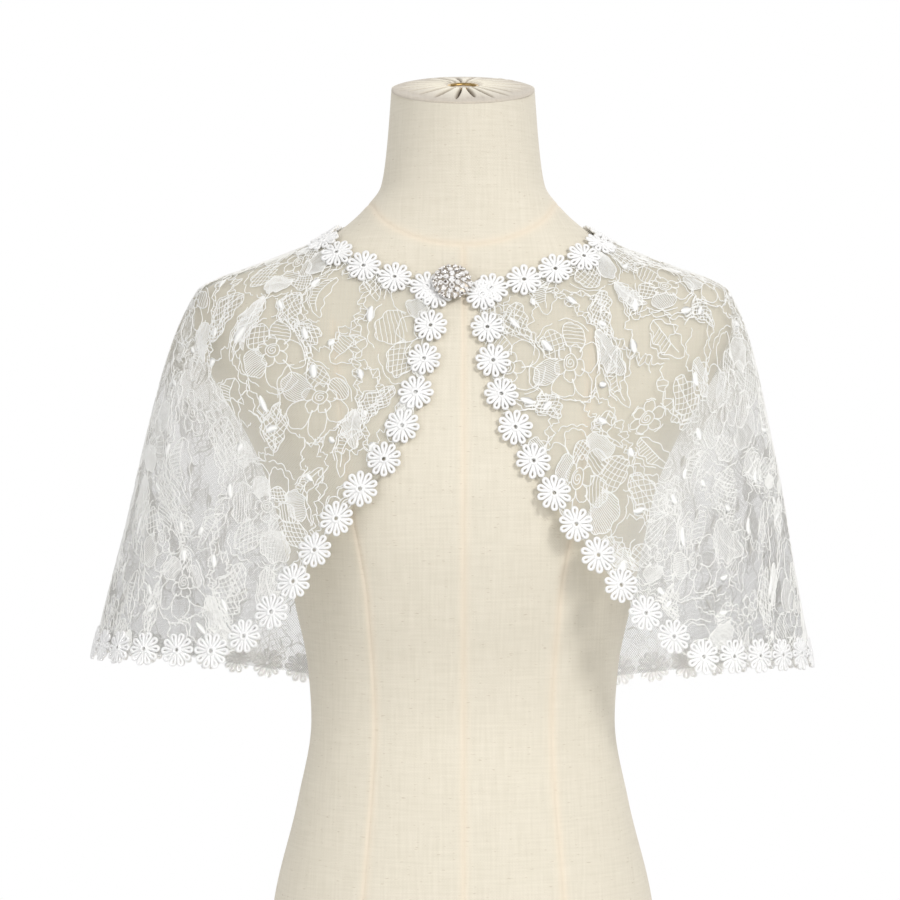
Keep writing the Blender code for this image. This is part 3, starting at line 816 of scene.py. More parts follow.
cape = {
    "clearance": 0.0012,
    "lift": 0.0017,
    "neckEdge": (0.563, 0.607, 0.602, 0.607, 1.3),  # front, right, back, left, blend
    "hemEdge": (0.2765, 0.2685, 0.231, 0.2765, 1.25),
    "flare": (0.10, 0.168, 0.21, 0.228, 2.0),
    "standOff": (0.002, 0.011, 0.004, 0.012, 2.0),
    "standOffDrop": 0.030,
    "foldGrowth": 1.3,
    "shellLift": 0.0006,
    "cordLift": 0.0003,
    "flattest": 0.0006,  # how far a thick thread stands off the net at most
    "meridianSteps": 180,
}
frontEdges = (  # height, half of the gap between the edges, middle of the gap
    (0.272, 0.178, -0.004),
    (0.284, 0.161, -0.004),
    (0.300, 0.138, -0.004),
    (0.335, 0.108, -0.006),
    (0.376, 0.079, -0.007),
    (0.400, 0.061, -0.006),
    (0.427, 0.042, -0.004),
    (0.476, 0.0195, -0.004),
    (0.527, 0.0090, -0.0035),
    (0.572, 0.0022, -0.003),
)
hangingFolds = (  # azimuth, half width in degrees, depth, height where it starts
    (60, 8, 0.005, 0.44),
    (77, 7, -0.004, 0.46),
    (95, 7, 0.005, 0.47),
    (110, 7, -0.006, 0.47),
    (126, 8, 0.009, 0.48),
    (142, 8, -0.008, 0.48),
    (158, 8, 0.009, 0.47),
    (175, 8, -0.007, 0.46),
    (-168, 8, 0.008, 0.46),
    (-151, 8, -0.007, 0.47),
    (-133, 8, 0.009, 0.48),
    (-114, 7, -0.005, 0.47),
    (-95, 8, 0.004, 0.46),
    (-72, 9, 0.010, 0.45),
    (-52, 8, -0.003, 0.43),
)
softCreases = (  # azimuth at its middle, lean, half width in degrees, first and last share, depth
    (84, 10, 3.0, 0.40, 0.82, 0.0022),
    (70, -6, 2.4, 0.52, 0.96, -0.0014),
    (101, 6, 2.6, 0.46, 1.02, 0.0018),
    (118, -8, 3.4, 0.38, 0.90, 0.0026),
    (133, 5, 2.8, 0.55, 1.05, -0.0020),
    (149, 7, 3.2, 0.42, 0.84, 0.0021),
    (166, -5, 3.0, 0.50, 1.04, 0.0018),
    (-177, 4, 3.6, 0.36, 0.78, 0.0016),
    (-160, -7, 2.8, 0.56, 1.05, -0.0019),
    (-142, 6, 3.3, 0.40, 0.92, 0.0024),
    (-123, -5, 2.6, 0.48, 1.02, 0.0018),
    (-105, 8, 3.0, 0.44, 0.80, 0.0022),
    (-88, -9, 2.5, 0.50, 0.98, -0.0013),
    (-76, 7, 2.8, 0.38, 0.74, 0.0018),
    (-62, 5, 2.4, 0.58, 1.02, 0.0013),
    (47, -6, 2.6, 0.50, 0.92, 0.0014),
)
shoulderSeam = 0.5 * math.pi
seamGap = 0.0003


def aroundValue(values, azimuth):
    front, right, back, left, blend = values
    facing = math.cos(azimuth)
    weight = abs(facing) ** blend
    side = right if math.sin(azimuth) > 0 else left
    return weight * (front if facing > 0 else back) + (1 - weight) * side


def foldDepth(azimuth, heights, hem):
    depth = np.zeros(len(heights))
    for turn, halfWidth, rise, start in hangingFolds:
        away = (math.degrees(azimuth) - turn + 180) % 360 - 180
        fall = ramp(-heights, -start, start - hem)
        depth += rise * bell(away, halfWidth) * fall ** cape["foldGrowth"]
    return depth


def creaseDepth(azimuth, shares):
    depth = np.zeros(len(shares))
    for turn, lean, halfWidth, first, last, rise in softCreases:
        run = (shares - first) / (last - first)
        away = (math.degrees(azimuth) - turn - lean * (run - 0.5) + 180) % 360 - 180
        depth += rise * bell(away, halfWidth) * np.sin(math.pi * np.clip(run, 0, 1)) ** 2
    return depth


def meridian(azimuth, shares):
    # the cloth lies on the form, then hangs with its flare below whatever stands out most
    hem = aroundValue(cape["hemEdge"], azimuth)
    heights = np.linspace(aroundValue(cape["neckEdge"], azimuth), hem, cape["meridianSteps"])
    onForm = formRadius(azimuth, heights) + cape["clearance"]
    drop = heights[:, None] - heights[None, :]
    fall = np.maximum(drop, 0)
    standOff = aroundValue(cape["standOff"], azimuth) * (1 - np.exp(-fall / cape["standOffDrop"]))
    hung = np.where(drop >= 0, onForm[:, None] + aroundValue(cape["flare"], azimuth) * fall + standOff, 0)
    radius = hung.max(axis=0) + foldDepth(azimuth, heights, hem)
    length = np.concatenate([[0], np.cumsum(np.hypot(np.diff(radius), np.diff(heights)))])
    at = np.asarray(shares) * length[-1]
    out = np.interp(at, length, radius) + creaseDepth(azimuth, np.asarray(shares))
    return np.stack([out, np.interp(at, length, heights + cape["lift"])], axis=1), length[-1]


gridAzimuths = np.radians(np.linspace(-180, 180, 721))
gridShares = np.linspace(0, 1, 161)
lines = [meridian(azimuth, gridShares) for azimuth in gridAzimuths]
capeGrid = np.array([line[0] for line in lines])
capeLengths = np.array([line[1] for line in lines])


def capePoints(azimuths, shares):
    # a share just outside 0 to 1 carries the line straight on
    turns = (np.asarray(azimuths) + math.pi) % fullTurn
    column = turns / (gridAzimuths[1] - gridAzimuths[0])
    row = np.asarray(shares) * (len(gridShares) - 1)
    i = np.clip(column.astype(int), 0, len(gridAzimuths) - 2)
    j = np.clip(np.floor(row).astype(int), 0, len(gridShares) - 2)
    s, t = (column - i)[:, None], (row - j)[:, None]
    profile = (1 - s) * ((1 - t) * capeGrid[i, j] + t * capeGrid[i, j + 1])
    profile += s * ((1 - t) * capeGrid[i + 1, j] + t * capeGrid[i + 1, j + 1])
    radius, height = profile.T
    return np.stack([radius * np.sin(azimuths), -radius * np.cos(azimuths), height], axis=1)


def capeTangents(azimuths, shares, turn=math.radians(1.0), step=0.01):
    byAzimuth = (capePoints(azimuths + turn, shares) - capePoints(azimuths - turn, shares)) / (2 * turn)
    byShare = (capePoints(azimuths, shares + step) - capePoints(azimuths, shares - step)) / (2 * step)
    return byAzimuth, byShare


def capeNormals(azimuths, shares):
    byAzimuth, byShare = capeTangents(azimuths, shares)
    return unit(np.cross(byShare, byAzimuth))


def frontEdgeAzimuth(share, side):
    turns = np.linspace(0, math.radians(80), 400)
    points = capePoints(side * turns, np.full(len(turns), share))
    heights = np.clip(points[:, 2], frontEdges[0][0], frontEdges[-1][0])
    halfGap, middle = (smoothColumn(frontEdges, column, heights) for column in (1, 2))
    return side * np.interp(0, side * (points[:, 0] - middle) - halfGap, turns)


# edges of the panels, as azimuths from 0 at the front, through the back, to a full turn
edgeShares = np.linspace(-0.05, 1.05, 111)
leftEdge = np.array([frontEdgeAzimuth(share, -1) for share in edgeShares])
rightEdge = np.array([frontEdgeAzimuth(share, 1) for share in edgeShares])


def leftFrontEdge(shares):
    return np.interp(shares, edgeShares, leftEdge) + fullTurn


def rightFrontEdge(shares):
    return np.interp(shares, edgeShares, rightEdge)


def seamEdge(side, towardsBack):
    def edge(shares):
        shares = np.atleast_1d(shares)
        spot = capePoints(np.full(len(shares), side * shoulderSeam), shares)
        half = 0.5 * seamGap / np.linalg.norm(spot[:, :2], axis=1)
        turn = side * (shoulderSeam + (1 if towardsBack else -1) * half)
        return turn + (fullTurn if side < 0 else 0)

    return edge


# the flat cut: a ring sector, as wide along its middle line as the cape is round it

middleShare = 0.5
coneShares = (0.2, 0.9)  # the lines round the cape that set how fast the sector widens
spins = np.radians(np.linspace(-30, 390, 841))
oneTurn = slice(60, -60)  # the steps from 0 to 360 degrees
spinLengths = np.interp((spins + math.pi) % fullTurn - math.pi, gridAzimuths, capeLengths)


def stepsRound(share):
    line = capePoints(spins, np.full(len(spins), share))
    return np.linalg.norm(np.diff(line, axis=0), axis=1)


upper, lower = (stepsRound(share)[oneTurn].sum() for share in coneShares)
cutRadius = spinLengths.mean() * (coneShares[1] * upper - coneShares[0] * lower) / (lower - upper)
middleRadius = cutRadius + middleShare * 0.5 * (spinLengths[1:] + spinLengths[:-1])
cutAngles = np.concatenate([[0], np.cumsum(stepsRound(middleShare) / middleRadius)])
cutAngles -= np.interp(math.pi, spins, cutAngles)
cutSlopes = np.gradient(cutAngles, spins)


def flatPlace(azimuths, shares, turn):
    # place on the flat cut, with the panel's own middle upright
    angle = np.interp(azimuths, spins, cutAngles) - turn
    reach = cutRadius + np.asarray(shares) * np.interp(azimuths, spins, spinLengths)
    return np.stack([reach * np.sin(angle), reach * np.cos(angle)], axis=-1)


def capePlace(flat, turn):
    angle = np.arctan2(flat[:, 0], flat[:, 1]) + turn
    azimuths = np.interp(angle, cutAngles, spins)
    lengths = np.interp(azimuths, spins, spinLengths)
    return azimuths, (np.hypot(flat[:, 0], flat[:, 1]) - cutRadius) / lengths


def drape(piece, turn):
    # bends a mesh that lies on the flat cut on to the cape
    flat = meshPoints(piece)
    azimuths, shares = capePlace(flat[:, :2], turn)
    standing = np.clip(flat[:, 2], -cape["flattest"], cape["flattest"])
    rise = cape["shellLift"] + cape["cordLift"] + standing
    movePoints(piece, capePoints(azimuths, shares) + rise[:, None] * capeNormals(azimuths, shares))


# lace panels; the trim reaches past their cut edges

panels = {
    "front_left": {"node": "lace_front_left", "columns": 110, "shift": (0.031, 0.012), "cordSides": 4},
    "front_right": {"node": "lace_front_right", "columns": 110, "shift": (0.070, 0.055), "cordSides": 4},
    "back": {"node": "lace_back", "columns": 260, "shift": (0.0, 0.030), "cordSides": 3},
}
underTrim = 0.0078  # distance of the cut edge from the trim's outer edge
panelRows = 120
uprightShare = 0.6  # the flat cut stands with the panel's middle upright here


def trimmed(edge, side):
    # a front edge moved in under the trim
    def moved(shares):
        turns = edge(shares)
        spot = capePoints(np.atleast_1d(turns), np.broadcast_to(shares, np.shape(np.atleast_1d(turns))))
        return turns + side * underTrim / np.linalg.norm(spot[:, :2], axis=1)

    return moved


panels["front_left"]["edges"] = (seamEdge(-1, False), trimmed(leftFrontEdge, -1))
panels["front_right"]["edges"] = (trimmed(rightFrontEdge, 1), seamEdge(1, False))
panels["back"]["edges"] = (seamEdge(1, True), seamEdge(-1, True))


panelShade = {  # strength, then where it starts and over how far it grows
    "hanging": (0.85, 0.02, 0.06),  # painted shade, by the distance from the form
    "towardsHem": (0.55, 0.35),  # by the share, where it hangs
    "nearForm": (0.8, 0.05, 0.04),  # painted warm light from the form, by the distance, growing inward
}


def cutArea(rows):
    # area inside the rim of a grid of flat points
    rim = np.vstack([rows[0], rows[1:, -1], rows[-1, -2::-1], rows[-2:0:-1, 0]])
    ahead = np.roll(rim, -1, axis=0)
    return float(0.5 * abs((rim[:, 0] * ahead[:, 1] - rim[:, 1] * ahead[:, 0]).sum()))


def makePanel(name, panel):
    start, end = panel["edges"]
    shares = np.linspace(0, 1, panelRows)
    first, last = start(shares)[:, None], end(shares)[:, None]
    grid = first + (last - first) * np.linspace(0, 1, panel["columns"] + 1)
    hidden = underTrim / np.interp(grid, spins, spinLengths)
    level = hidden + (1 - 2 * hidden) * shares[:, None]
    azimuths, shares = grid.ravel(), level.ravel()
    points = capePoints(azimuths, shares) + cape["shellLift"] * capeNormals(azimuths, shares)
    middle = 0.5 * (start(np.array([uprightShare])) + end(np.array([uprightShare])))[0]
    panel["turn"] = float(np.interp(middle, spins, cutAngles))
    piece = newPiece("capelet_" + name, points, quads(gridIndex(*grid.shape)), laceNet)
    flat = flatPlace(azimuths, shares, panel["turn"])
    addUv(piece, "cut", flat)
    free = np.hypot(points[:, 0], points[:, 1]) - formRadius(azimuths, points[:, 2])
    most, begin, over = panelShade["hanging"]
    greyed = ramp(free, begin, over) * ramp(shares, *panelShade["towardsHem"])
    addAttribute(piece, "hanging", most * greyed)  # painted shade: greyer where the net hangs clear of the form, as less light comes back where no form is behind
    # painted warm light from the form where the net lies close to it
    most, begin, over = panelShade["nearForm"]
    addAttribute(piece, "nearForm", most * ramp(-free, -begin, over))
    area = cutArea(flat.reshape(*grid.shape, 2))
    panel.update(piece=piece, flat=tuple(map(float, np.ptp(flat, axis=0))), area=area, parts=[])
    cloth = sum(face.area for face in piece.data.polygons)
    width, height = panel["flat"]
    print(f"{name}: cut {width:.3f} x {height:.3f} m, flat {area:.4f}, cloth {cloth:.4f} square metres")


for panelName, panelFacts in panels.items():
    makePanel(panelName, panelFacts)


# one repeat of the lace, charted in units of its own; it flows down the cloth

laceRepeat = {
    "unit": 0.00125,
    "width": 112.0,
    "height": 140.0,
    "spacing": 1.4,
    "fillings": {  # pitch, then the ways that the threads run, in degrees
        "net": (2.8, (40, -50)),
        "bars": (2.0, (75,)),
        "cloth": (0.92, (8,)),
        "plain": (0.0, ()),
    },
    "cordRadius": 0.00042,
    "stemRadius": 0.00046,
    "fillRadius": 0.00034,
    "petalFillings": ("net", "plain", "bars", "cloth", "plain"),
    "petal": {
        "heart": 0.42,  # where the first layer starts, as a share of its radius
        "nextLayer": 0.86,  # where the next one starts, as a share of the one before
        "spread": 1.06,  # 1 where petals just meet
        "swell": 0.14,
        "ripple": (0.045, 0.3),  # depth of the scallops: share of the radius, and the rest
        "scallop": 6.5,  # length of one
        "phase": 0.4,  # from petal to petal
        "points": (12, 1.15),  # at least, and by the radius
    },
    "outerLine": {  # the first four are shares of the last layer's radius
        "reach": 1.10,
        "start": 1.02,
        "ripple": 0.05,
        "points": 1.2,
        "spread": 0.98,
        "phase": 0.3,
    },
    "coils": ((0.44, 0.0, 1.0), (0.05, 0.28, 1.8)),  # first radius, growth and turns in the heart
    "leaf": {"bend": 0.10, "ripple": 0.16, "ripples": 3.5, "second": (0.4, 1.7)},
    "budBend": 0.08,
    "stemWaves": ((1.5, 10.0, 0), (1.3, 8.5, 2)),  # depth, length and phase for each of its cords
    "clear": 0.97,  # share of a bloom's radius where stems and leaves end
    "blooms": (  # x, y, turn, then the radius and petals of each layer from the inside
        (56, 42, 12, (11, 5), (20, 6), (30, 7)),
        (8, 110, 40, (9, 5), (20, 6)),
        (90, 96, 20, (8, 5), (17, 5)),
        (104, 18, 0, (9, 6),),
    ),
    "leaves": (  # x, y, turn, length, width, filling
        (86, 54, 62, 34, 15, "net"),
        (24, 56, 118, 30, 13, "bars"),
        (48, 76, 96, 36, 16, "net"),
        (64, 74, 66, 30, 13, "cloth"),
        (98, 30, 70, 30, 13, "bars"),
        (14, 8, 76, 30, 13, "net"),
        (32, 104, 60, 30, 14, "cloth"),
        (72, 84, 104, 26, 11, "plain"),
        (72, 116, 78, 28, 12, "bars"),
        (110, 66, 100, 30, 13, "net"),
        (44, 118, 96, 28, 12, "bars"),
        (26, 10, 66, 24, 12, "cloth"),
        (100, 116, 84, 28, 12, "net"),
        (84, 4, 110, 26, 11, "bars"),
    ),
    "stems": (  # gap between its two cords, with rungs or not, then its points
        (3.2, True, (10, 0), (6, 18), (18, 44), (22, 72), (32, 92), (46, 112), (66, 140)),
        (3.4, False, (48, 0), (36, 22), (44, 52), (70, 76), (66, 98), (86, 120), (104, 140)),
        (3.0, False, (84, 0), (92, 20), (90, 48), (106, 70), (112, 96), (124, 120), (140, 140)),
        (3.2, True, (22, 70), (36, 74), (46, 88), (48, 102)),
        (0.0, False, (76, 72), (88, 74), (98, 72), (108, 60)),
        (0.0, False, (20, 46), (10, 58), (6, 74), (-4, 84)),
        (0.0, False, (66, 100), (58, 106), (56, 120), (46, 132), (30, 136)),
        (3.0, True, (112, 100), (104, 110), (98, 124), (84, 130)),
        (0.0, False, (2, 128), (14, 132), (24, 126), (30, 116)),
        (0.0, False, (70, 2), (76, 10), (88, 12)),
        (0.0, False, (20, 28), (26, 20), (22, 6), (30, -6)),
        (0.0, False, (66, 136), (78, 128), (80, 114)),
        (0.0, False, (66, 0), (84, 28), (80, 56), (92, 84), (104, 110), (122, 140)),
    ),
    "buds": (  # x, y, turn, length, half width
        (20, 40, 70, 7.6, 2.6),
        (24, 76, 60, 6.8, 2.2),
        (40, 100, 50, 6.0, 2.1),
        (68, 92, 100, 8.5, 2.9),
        (88, 118, 45, 6.8, 2.3),
        (90, 36, 95, 7.6, 2.6),
        (104, 74, 65, 6.8, 2.3),
        (112, 92, 80, 7.6, 2.7),
        (8, 66, 110, 6.0, 2.1),
        (56, 118, 105, 6.8, 2.3),
        (26, 128, 20, 6.0, 2.1),
        (100, 128, 140, 6.8, 2.2),
        (76, 8, 30, 6.0, 2.1),
        (24, 14, 95, 6.8, 2.3),
        (80, 70, 15, 6.0, 2.1),
    ),
}


def smoothLine(controls, spacing):
    # a curve through every control point
    controls = np.array(controls, float)
    padded = np.vstack([2 * controls[0] - controls[1], controls, 2 * controls[-1] - controls[-2]])
    found = []
    for a, b, c, d in zip(padded, padded[1:], padded[2:], padded[3:]):
        steps = max(2, int(np.linalg.norm(c - b) / spacing))
        t = np.arange(steps)[:, None] / steps
        bend, twist = 2 * a - 5 * b + 4 * c - d, 3 * b - a - 3 * c + d
        found.append(0.5 * (2 * b + (c - a) * t + bend * t**2 + twist * t**3))
    return np.vstack(found + [controls[-1:]])


def wavyLine(points, depth, wave, phase, shift=0.0):
    # one long wave and a weaker, shorter one
    run = runLengths(points)
    sway = depth * np.sin(fullTurn * run / wave + phase)
    sway += 0.5 * depth * np.sin(fullTurn * run / (0.43 * wave) + 2 * phase)
    along = unit(np.gradient(points, axis=0))
    across = np.stack([-along[:, 1], along[:, 0]], axis=1)
    return points + (shift + sway)[:, None] * across


def turned(points, turn, place=(0, 0)):
    c, s = math.cos(math.radians(turn)), math.sin(math.radians(turn))
    return np.asarray(points) @ np.array([[c, s], [-s, c]]) + place


longestStep = 2.5  # between the points of a filling's thread


def fillLines(outline, pitch, turn):
    # parallel threads across a closed outline
    flat = turned(outline, -turn)
    ends = np.roll(flat, -1, axis=0)
    found = []
    for level in np.arange(flat[:, 1].min() + 0.5 * pitch, flat[:, 1].max(), pitch):
        cut = (flat[:, 1] > level) != (ends[:, 1] > level)
        a, b = flat[cut], ends[cut]
        places = np.sort(a[:, 0] + (level - a[:, 1]) / (b[:, 1] - a[:, 1]) * (b[:, 0] - a[:, 0]))
        for low, high in zip(places[::2], places[1::2]):
            steps = max(2, int((high - low) / longestStep) + 1)
            line = np.stack([np.linspace(low, high, steps), np.full(steps, level)], axis=1)
            found.append(turned(line, turn))
    return found


def petalOutline(radius, spread, inner, ripple, phase, count, petal):
    # a rounded petal that starts and ends at the inner radius, with a scalloped edge
    t = np.linspace(0, 1, count)
    swell = np.sin(math.pi * t)
    angle = np.radians(spread * (t - 0.5)) * (1 + petal["swell"] * swell)
    bumps = max(3, round(radius * math.radians(spread) / petal["scallop"]))
    scallop = ripple * np.abs(np.sin(math.pi * bumps * t + phase))
    return polar(inner + (radius - inner) * swell**0.5 + scallop * swell**0.5, angle)


def filling(outline, kind, turn, chart):
    # the threads inside an outline; each filling has its pitch and the ways its threads run
    pitch, ways = chart["fillings"][kind]
    return [line for way in ways for line in fillLines(outline, pitch, turn + way)]


def bloomLines(bloom, chart):
    # layers of petals, one round the other, round a coiled heart
    x, y, turn, *layers = bloom
    petal, outer = chart["petal"], chart["outerLine"]
    share, rest = petal["ripple"]
    cords, threads = [], []
    inner = petal["heart"] * layers[0][0]
    for layer, (radius, petals) in enumerate(layers):
        step = 360 / petals
        faces = [turn + step * (i + 0.5 * layer) for i in range(petals)]
        count = max(petal["points"][0], int(radius * petal["points"][1]))
        for i, face in enumerate(faces):
            shape = (radius, step * petal["spread"], inner, share * radius + rest, petal["phase"] * i, count)
            outline = turned(petalOutline(*shape, petal), face, (x, y))
            cords.append(outline)
            kind = chart["petalFillings"][(2 * i + layer + int(x)) % 5] if layer else "plain"
            threads += filling(outline, kind, face, chart)
        inner = petal["nextLayer"] * radius
    reach, start, ripple, points = (outer[label] * radius for label in ("reach", "start", "ripple", "points"))
    for i, face in enumerate(faces):  # round the last layer
        phase = petal["phase"] * i + outer["phase"]
        line = petalOutline(reach, step * outer["spread"], start, ripple, phase, int(points), petal)
        cords.append(turned(line[1 + i % 3 : -2], face, (x, y)))
    t = np.linspace(0, 1, 30)
    for start, growth, rounds in chart["coils"]:
        cords.append(polar(layers[0][0] * (start + growth * t), fullTurn * rounds * t) + (x, y))
    return cords, threads


def leafLines(leaf, chart):
    x, y, turn, length, width, kind = leaf
    t = np.linspace(0, 1, 20)
    shape = chart["leaf"]
    ripple = 1 + shape["ripple"] * np.sin(fullTurn * shape["ripples"] * t)
    half = 0.5 * width * np.sin(math.pi * t**0.8) ** 0.7 * ripple
    bend = shape["bend"] * length * np.sin(math.pi * t)
    above, rib, below = (np.stack([length * t, bend + side * half], axis=1) for side in (1, 0, -1))
    outline = np.vstack([above, below[-2::-1]])
    second = above[3:-4] + shape["second"]  # a loose line beside the edge
    cords = [turned(line, turn, (x, y)) for line in (outline, rib[:-2:2], second)]
    part = np.vstack([above, rib[::-1]]) if kind == "bars" else outline
    return cords, filling(turned(part, turn, (x, y)), kind, turn, chart)


def budLine(bud, chart):
    # a solid little pod: one thread that swells in the middle
    x, y, turn, length, half = bud
    t = np.linspace(0, 1, 8)
    middle = np.stack([length * t, chart["budBend"] * length * np.sin(math.pi * t)], axis=1)
    radius = half * np.sin(math.pi * (0.04 + 0.92 * t)) ** 0.6
    return np.column_stack([turned(middle, turn, (x, y)), radius])


def splitRuns(line, keep):
    # the stretches of a line whose points are all kept
    breaks = np.nonzero(np.diff(keep.astype(int)))[0] + 1
    parts = zip(np.split(line, breaks), np.split(keep, breaks))
    return [part for part, kept in parts if kept[0] and len(part) > 2]


def outsideBlooms(lines, chart):
    # the runs of lines that are clear of every bloom, those of the next repeats too
    size = np.array([chart["width"], chart["height"]])
    nextRepeats = [(0, 0), (-1, 0), (1, 0)]
    nextRepeats += [(along, down) for down in (-1, 1) for along in (-1.5, -0.5, 0.5, 1.5)]
    found = []
    for line in lines:
        inside = np.zeros(len(line), bool)
        for x, y, _, *layers in chart["blooms"]:
            for place in nextRepeats:
                away = np.linalg.norm(line - ((x, y) + place * size), axis=1)
                inside |= away < chart["clear"] * layers[-1][0]
        found += splitRuns(line, ~inside)
    return found


def drawRepeat(chart):
    # every thread as rows of x, y and its own radius
    cords, stems, threads = [], [], []
    for bloom in chart["blooms"]:
        outlines, fill = bloomLines(bloom, chart)
        cords += outlines
        threads += fill
    for leaf in chart["leaves"]:
        outlines, fill = leafLines(leaf, chart)
        cords += outsideBlooms(outlines, chart)
        threads += outsideBlooms(fill, chart)
    for index, (gap, rungs, *controls) in enumerate(chart["stems"]):
        middle = smoothLine(controls, chart["spacing"])
        waves = [(depth, wave, index + phase) for depth, wave, phase in chart["stemWaves"]]
        first, second = wavyLine(middle, *waves[0]), wavyLine(middle, *waves[1], gap)
        stems += outsideBlooms([first, second[3:-3]] if gap else [first], chart)
        if rungs:
            pairs = zip(first[4:-4:2], second[4:-4:2])
            threads += outsideBlooms([np.linspace(a, b, 3) for a, b in pairs], chart)
    drawn = [chart["unit"] * budLine(bud, chart) for bud in chart["buds"]]
    for lines, radius in ((cords, "cordRadius"), (stems, "stemRadius"), (threads, "fillRadius")):
        for line in lines:
            drawn.append(np.column_stack([chart["unit"] * line, np.full(len(line), chart[radius])]))
    return drawn


laceEdge = 0.0006  # bare net along every edge


def panelRepeats(panel, chart):
    # where the repeats fall on a panel's cut, in half-drop rows
    width, height = chart["width"] * chart["unit"], chart["height"] * chart["unit"]
    half = 0.5 * panel["flat"][0] + width
    shiftX, shiftY = panel["shift"]
    for row in range(-1, int(spinLengths.max() / height) + 2):
        for column in range(-int(half / width) - 1, int(half / width) + 2):
            yield np.array([(column + 0.5 * (row % 2)) * width + shiftX, cutRadius + row * height - shiftY])


def onPanel(flat, panel, margin):
    azimuths, shares = capePlace(flat, panel["turn"])
    start, end = panel["edges"]
    reach = np.hypot(flat[:, 0], flat[:, 1])
    room = margin / (reach * np.interp(azimuths, spins, cutSlopes))
    down = (underTrim + margin) / np.interp(azimuths, spins, spinLengths)
    level = (shares > down) & (shares < 1 - down)
    return level & (azimuths > start(shares) + room) & (azimuths < end(shares) - room)


clothWarp = (  # depth, then three numbers of the wave across and three of the wave down
    (0.0056, (47, 31, 0.4), (39, -53, 1.9)),
    (0.0013, (61, -150, 2.3), (143, 72, 0.7)),
    (0.00025, (310, 690, 0.0), (740, -260, 1.1)),
)


def warped(flat):
    # the cloth is never quite true
    x, y = flat.T
    moved = flat
    for depth, *waves in clothWarp:
        moved = moved + depth * np.stack([np.sin(x * a + y * b + c) for a, b, c in waves], axis=1)
    return moved


def makeLace(name, panel, chart, drawn):
    lines = []
    for place in panelRepeats(panel, chart):
        lines += [np.column_stack([warped(line[:, :2] + place), line[:, 2]]) for line in drawn]
    counts = np.cumsum([len(line) for line in lines])[:-1]
    keeps = np.split(onPanel(np.vstack(lines)[:, :2], panel, laceEdge), counts)
    kept = [run for line, keep in zip(lines, keeps) for run in splitRuns(line, keep)]
    halves = {name: kept}
    if name == "back":  # so many threads that each half is a piece
        halves = {"back_left": [run for run in kept if run[0, 0] >= 0]}
        halves["back_right"] = [run for run in kept if run[0, 0] < 0]
    for half, runs in halves.items():
        paths = [run * (1, 1, 0) for run in runs]
        radii = [run[:, 2] for run in runs]
        cords = threadPiece("lace_cords_" + half, paths, radii, cordWhite, panel["cordSides"])
        drape(cords, panel["turn"])
        panel["parts"].append(cords)
        print(f"{half}: {len(runs)} cords, {len(cords.data.polygons)} faces")


drawnRepeat = drawRepeat(laceRepeat)
for panelName, panelFacts in panels.items():
    makeLace(panelName, panelFacts, laceRepeat, drawnRepeat)


# daisy trim, one chain along each edge

daisy = {
    "petals": 10,
    "innerRadius": 0.0034,
    "tipRadius": 0.0119,
    "petalHalfWidth": 0.0028,
    "threadRadius": 0.0012,
    "threadSides": 5,
    "crossing": 0.0002,  # how far apart the two sides of a loop lie
    "ringRadius": 0.0024,
    "centreRise": 0.0006,
    "inset": 0.0118,
    "pitch": 0.0270,
    "neckPitch": 0.0255,
    "neckStart": 0.0200,
    "frontStart": 0.0155,
    "stretch": 1.05,
    "touching": 1.04,
    "frontCount": 12,
    "lift": 0.0012,
    "turnRange": math.radians(5),
    "sizeRange": 0.03,
    "seed": 11,
}


def makeDaisyShape(settings):
    # thread loops round a ring, lying flat at the origin
    angle = np.linspace(0, fullTurn, 21)
    inner, tip = settings["innerRadius"], settings["tipRadius"]
    reach = 0.5 * (inner + tip) - 0.5 * (tip - inner) * np.cos(angle)
    width = settings["petalHalfWidth"] * np.sin(angle) * (0.12 + 0.88 * (0.5 - 0.5 * np.cos(angle)) ** 1.5)
    crossing = np.where(np.sin(angle) > 0, 1, -1) * settings["crossing"] * np.sin(angle) ** 2
    loop = np.stack([reach, width], axis=1)
    petals = settings["petals"]
    lines = [np.column_stack([turned(loop, 360 / petals * petal), crossing]) for petal in range(petals)]
    lines.append(ringPoints(settings["ringRadius"], np.linspace(0, fullTurn, 19), settings["centreRise"]))
    radii = [settings["threadRadius"]] * len(lines)
    return threadPiece("daisyShape", lines, radii, daisyWhite, settings["threadSides"])


def offsetOnCape(azimuths, shares, target):
    # azimuths and shares of the points that lie at these distances from places on the cape
    start = capePoints(azimuths, shares)
    for _ in range(3):
        left = target - (capePoints(azimuths, shares) - start)
        byAzimuth, byShare = capeTangents(azimuths, shares)
        aa, bb = (byAzimuth**2).sum(1), (byShare**2).sum(1)
        ab = (byAzimuth * byShare).sum(1)
        ra, rb = (left * byAzimuth).sum(1), (left * byShare).sum(1)
        bottom = aa * bb - ab * ab
        azimuths = azimuths + (ra * bb - rb * ab) / bottom
        shares = shares + (rb * aa - ra * ab) / bottom
    return azimuths, shares


def inwardFrom(along, azimuths, shares, sign):
    return unit(sign * np.cross(along, capeNormals(azimuths, shares)))


def insetPath(azimuths, shares, sign, inset):
    # an edge moved in over the cape; the sign says on which side of the edge the cape lies
    along = unit(np.gradient(capePoints(azimuths, shares), axis=0))
    return offsetOnCape(azimuths, shares, inset * inwardFrom(along, azimuths, shares, sign))


def evenLengths(points, length, first, last, pitch):
    found = [first]
    fine = np.linspace(first, last, 4000)
    spots = np.stack([np.interp(fine, length, points[:, k]) for k in range(3)], axis=1)
    index = 0
    while True:
        beyond = np.nonzero(np.linalg.norm(spots[index:] - spots[index], axis=1) >= pitch)[0]
        if len(beyond) == 0:
            return np.array(found)
        index += beyond[0]
        found.append(fine[index])


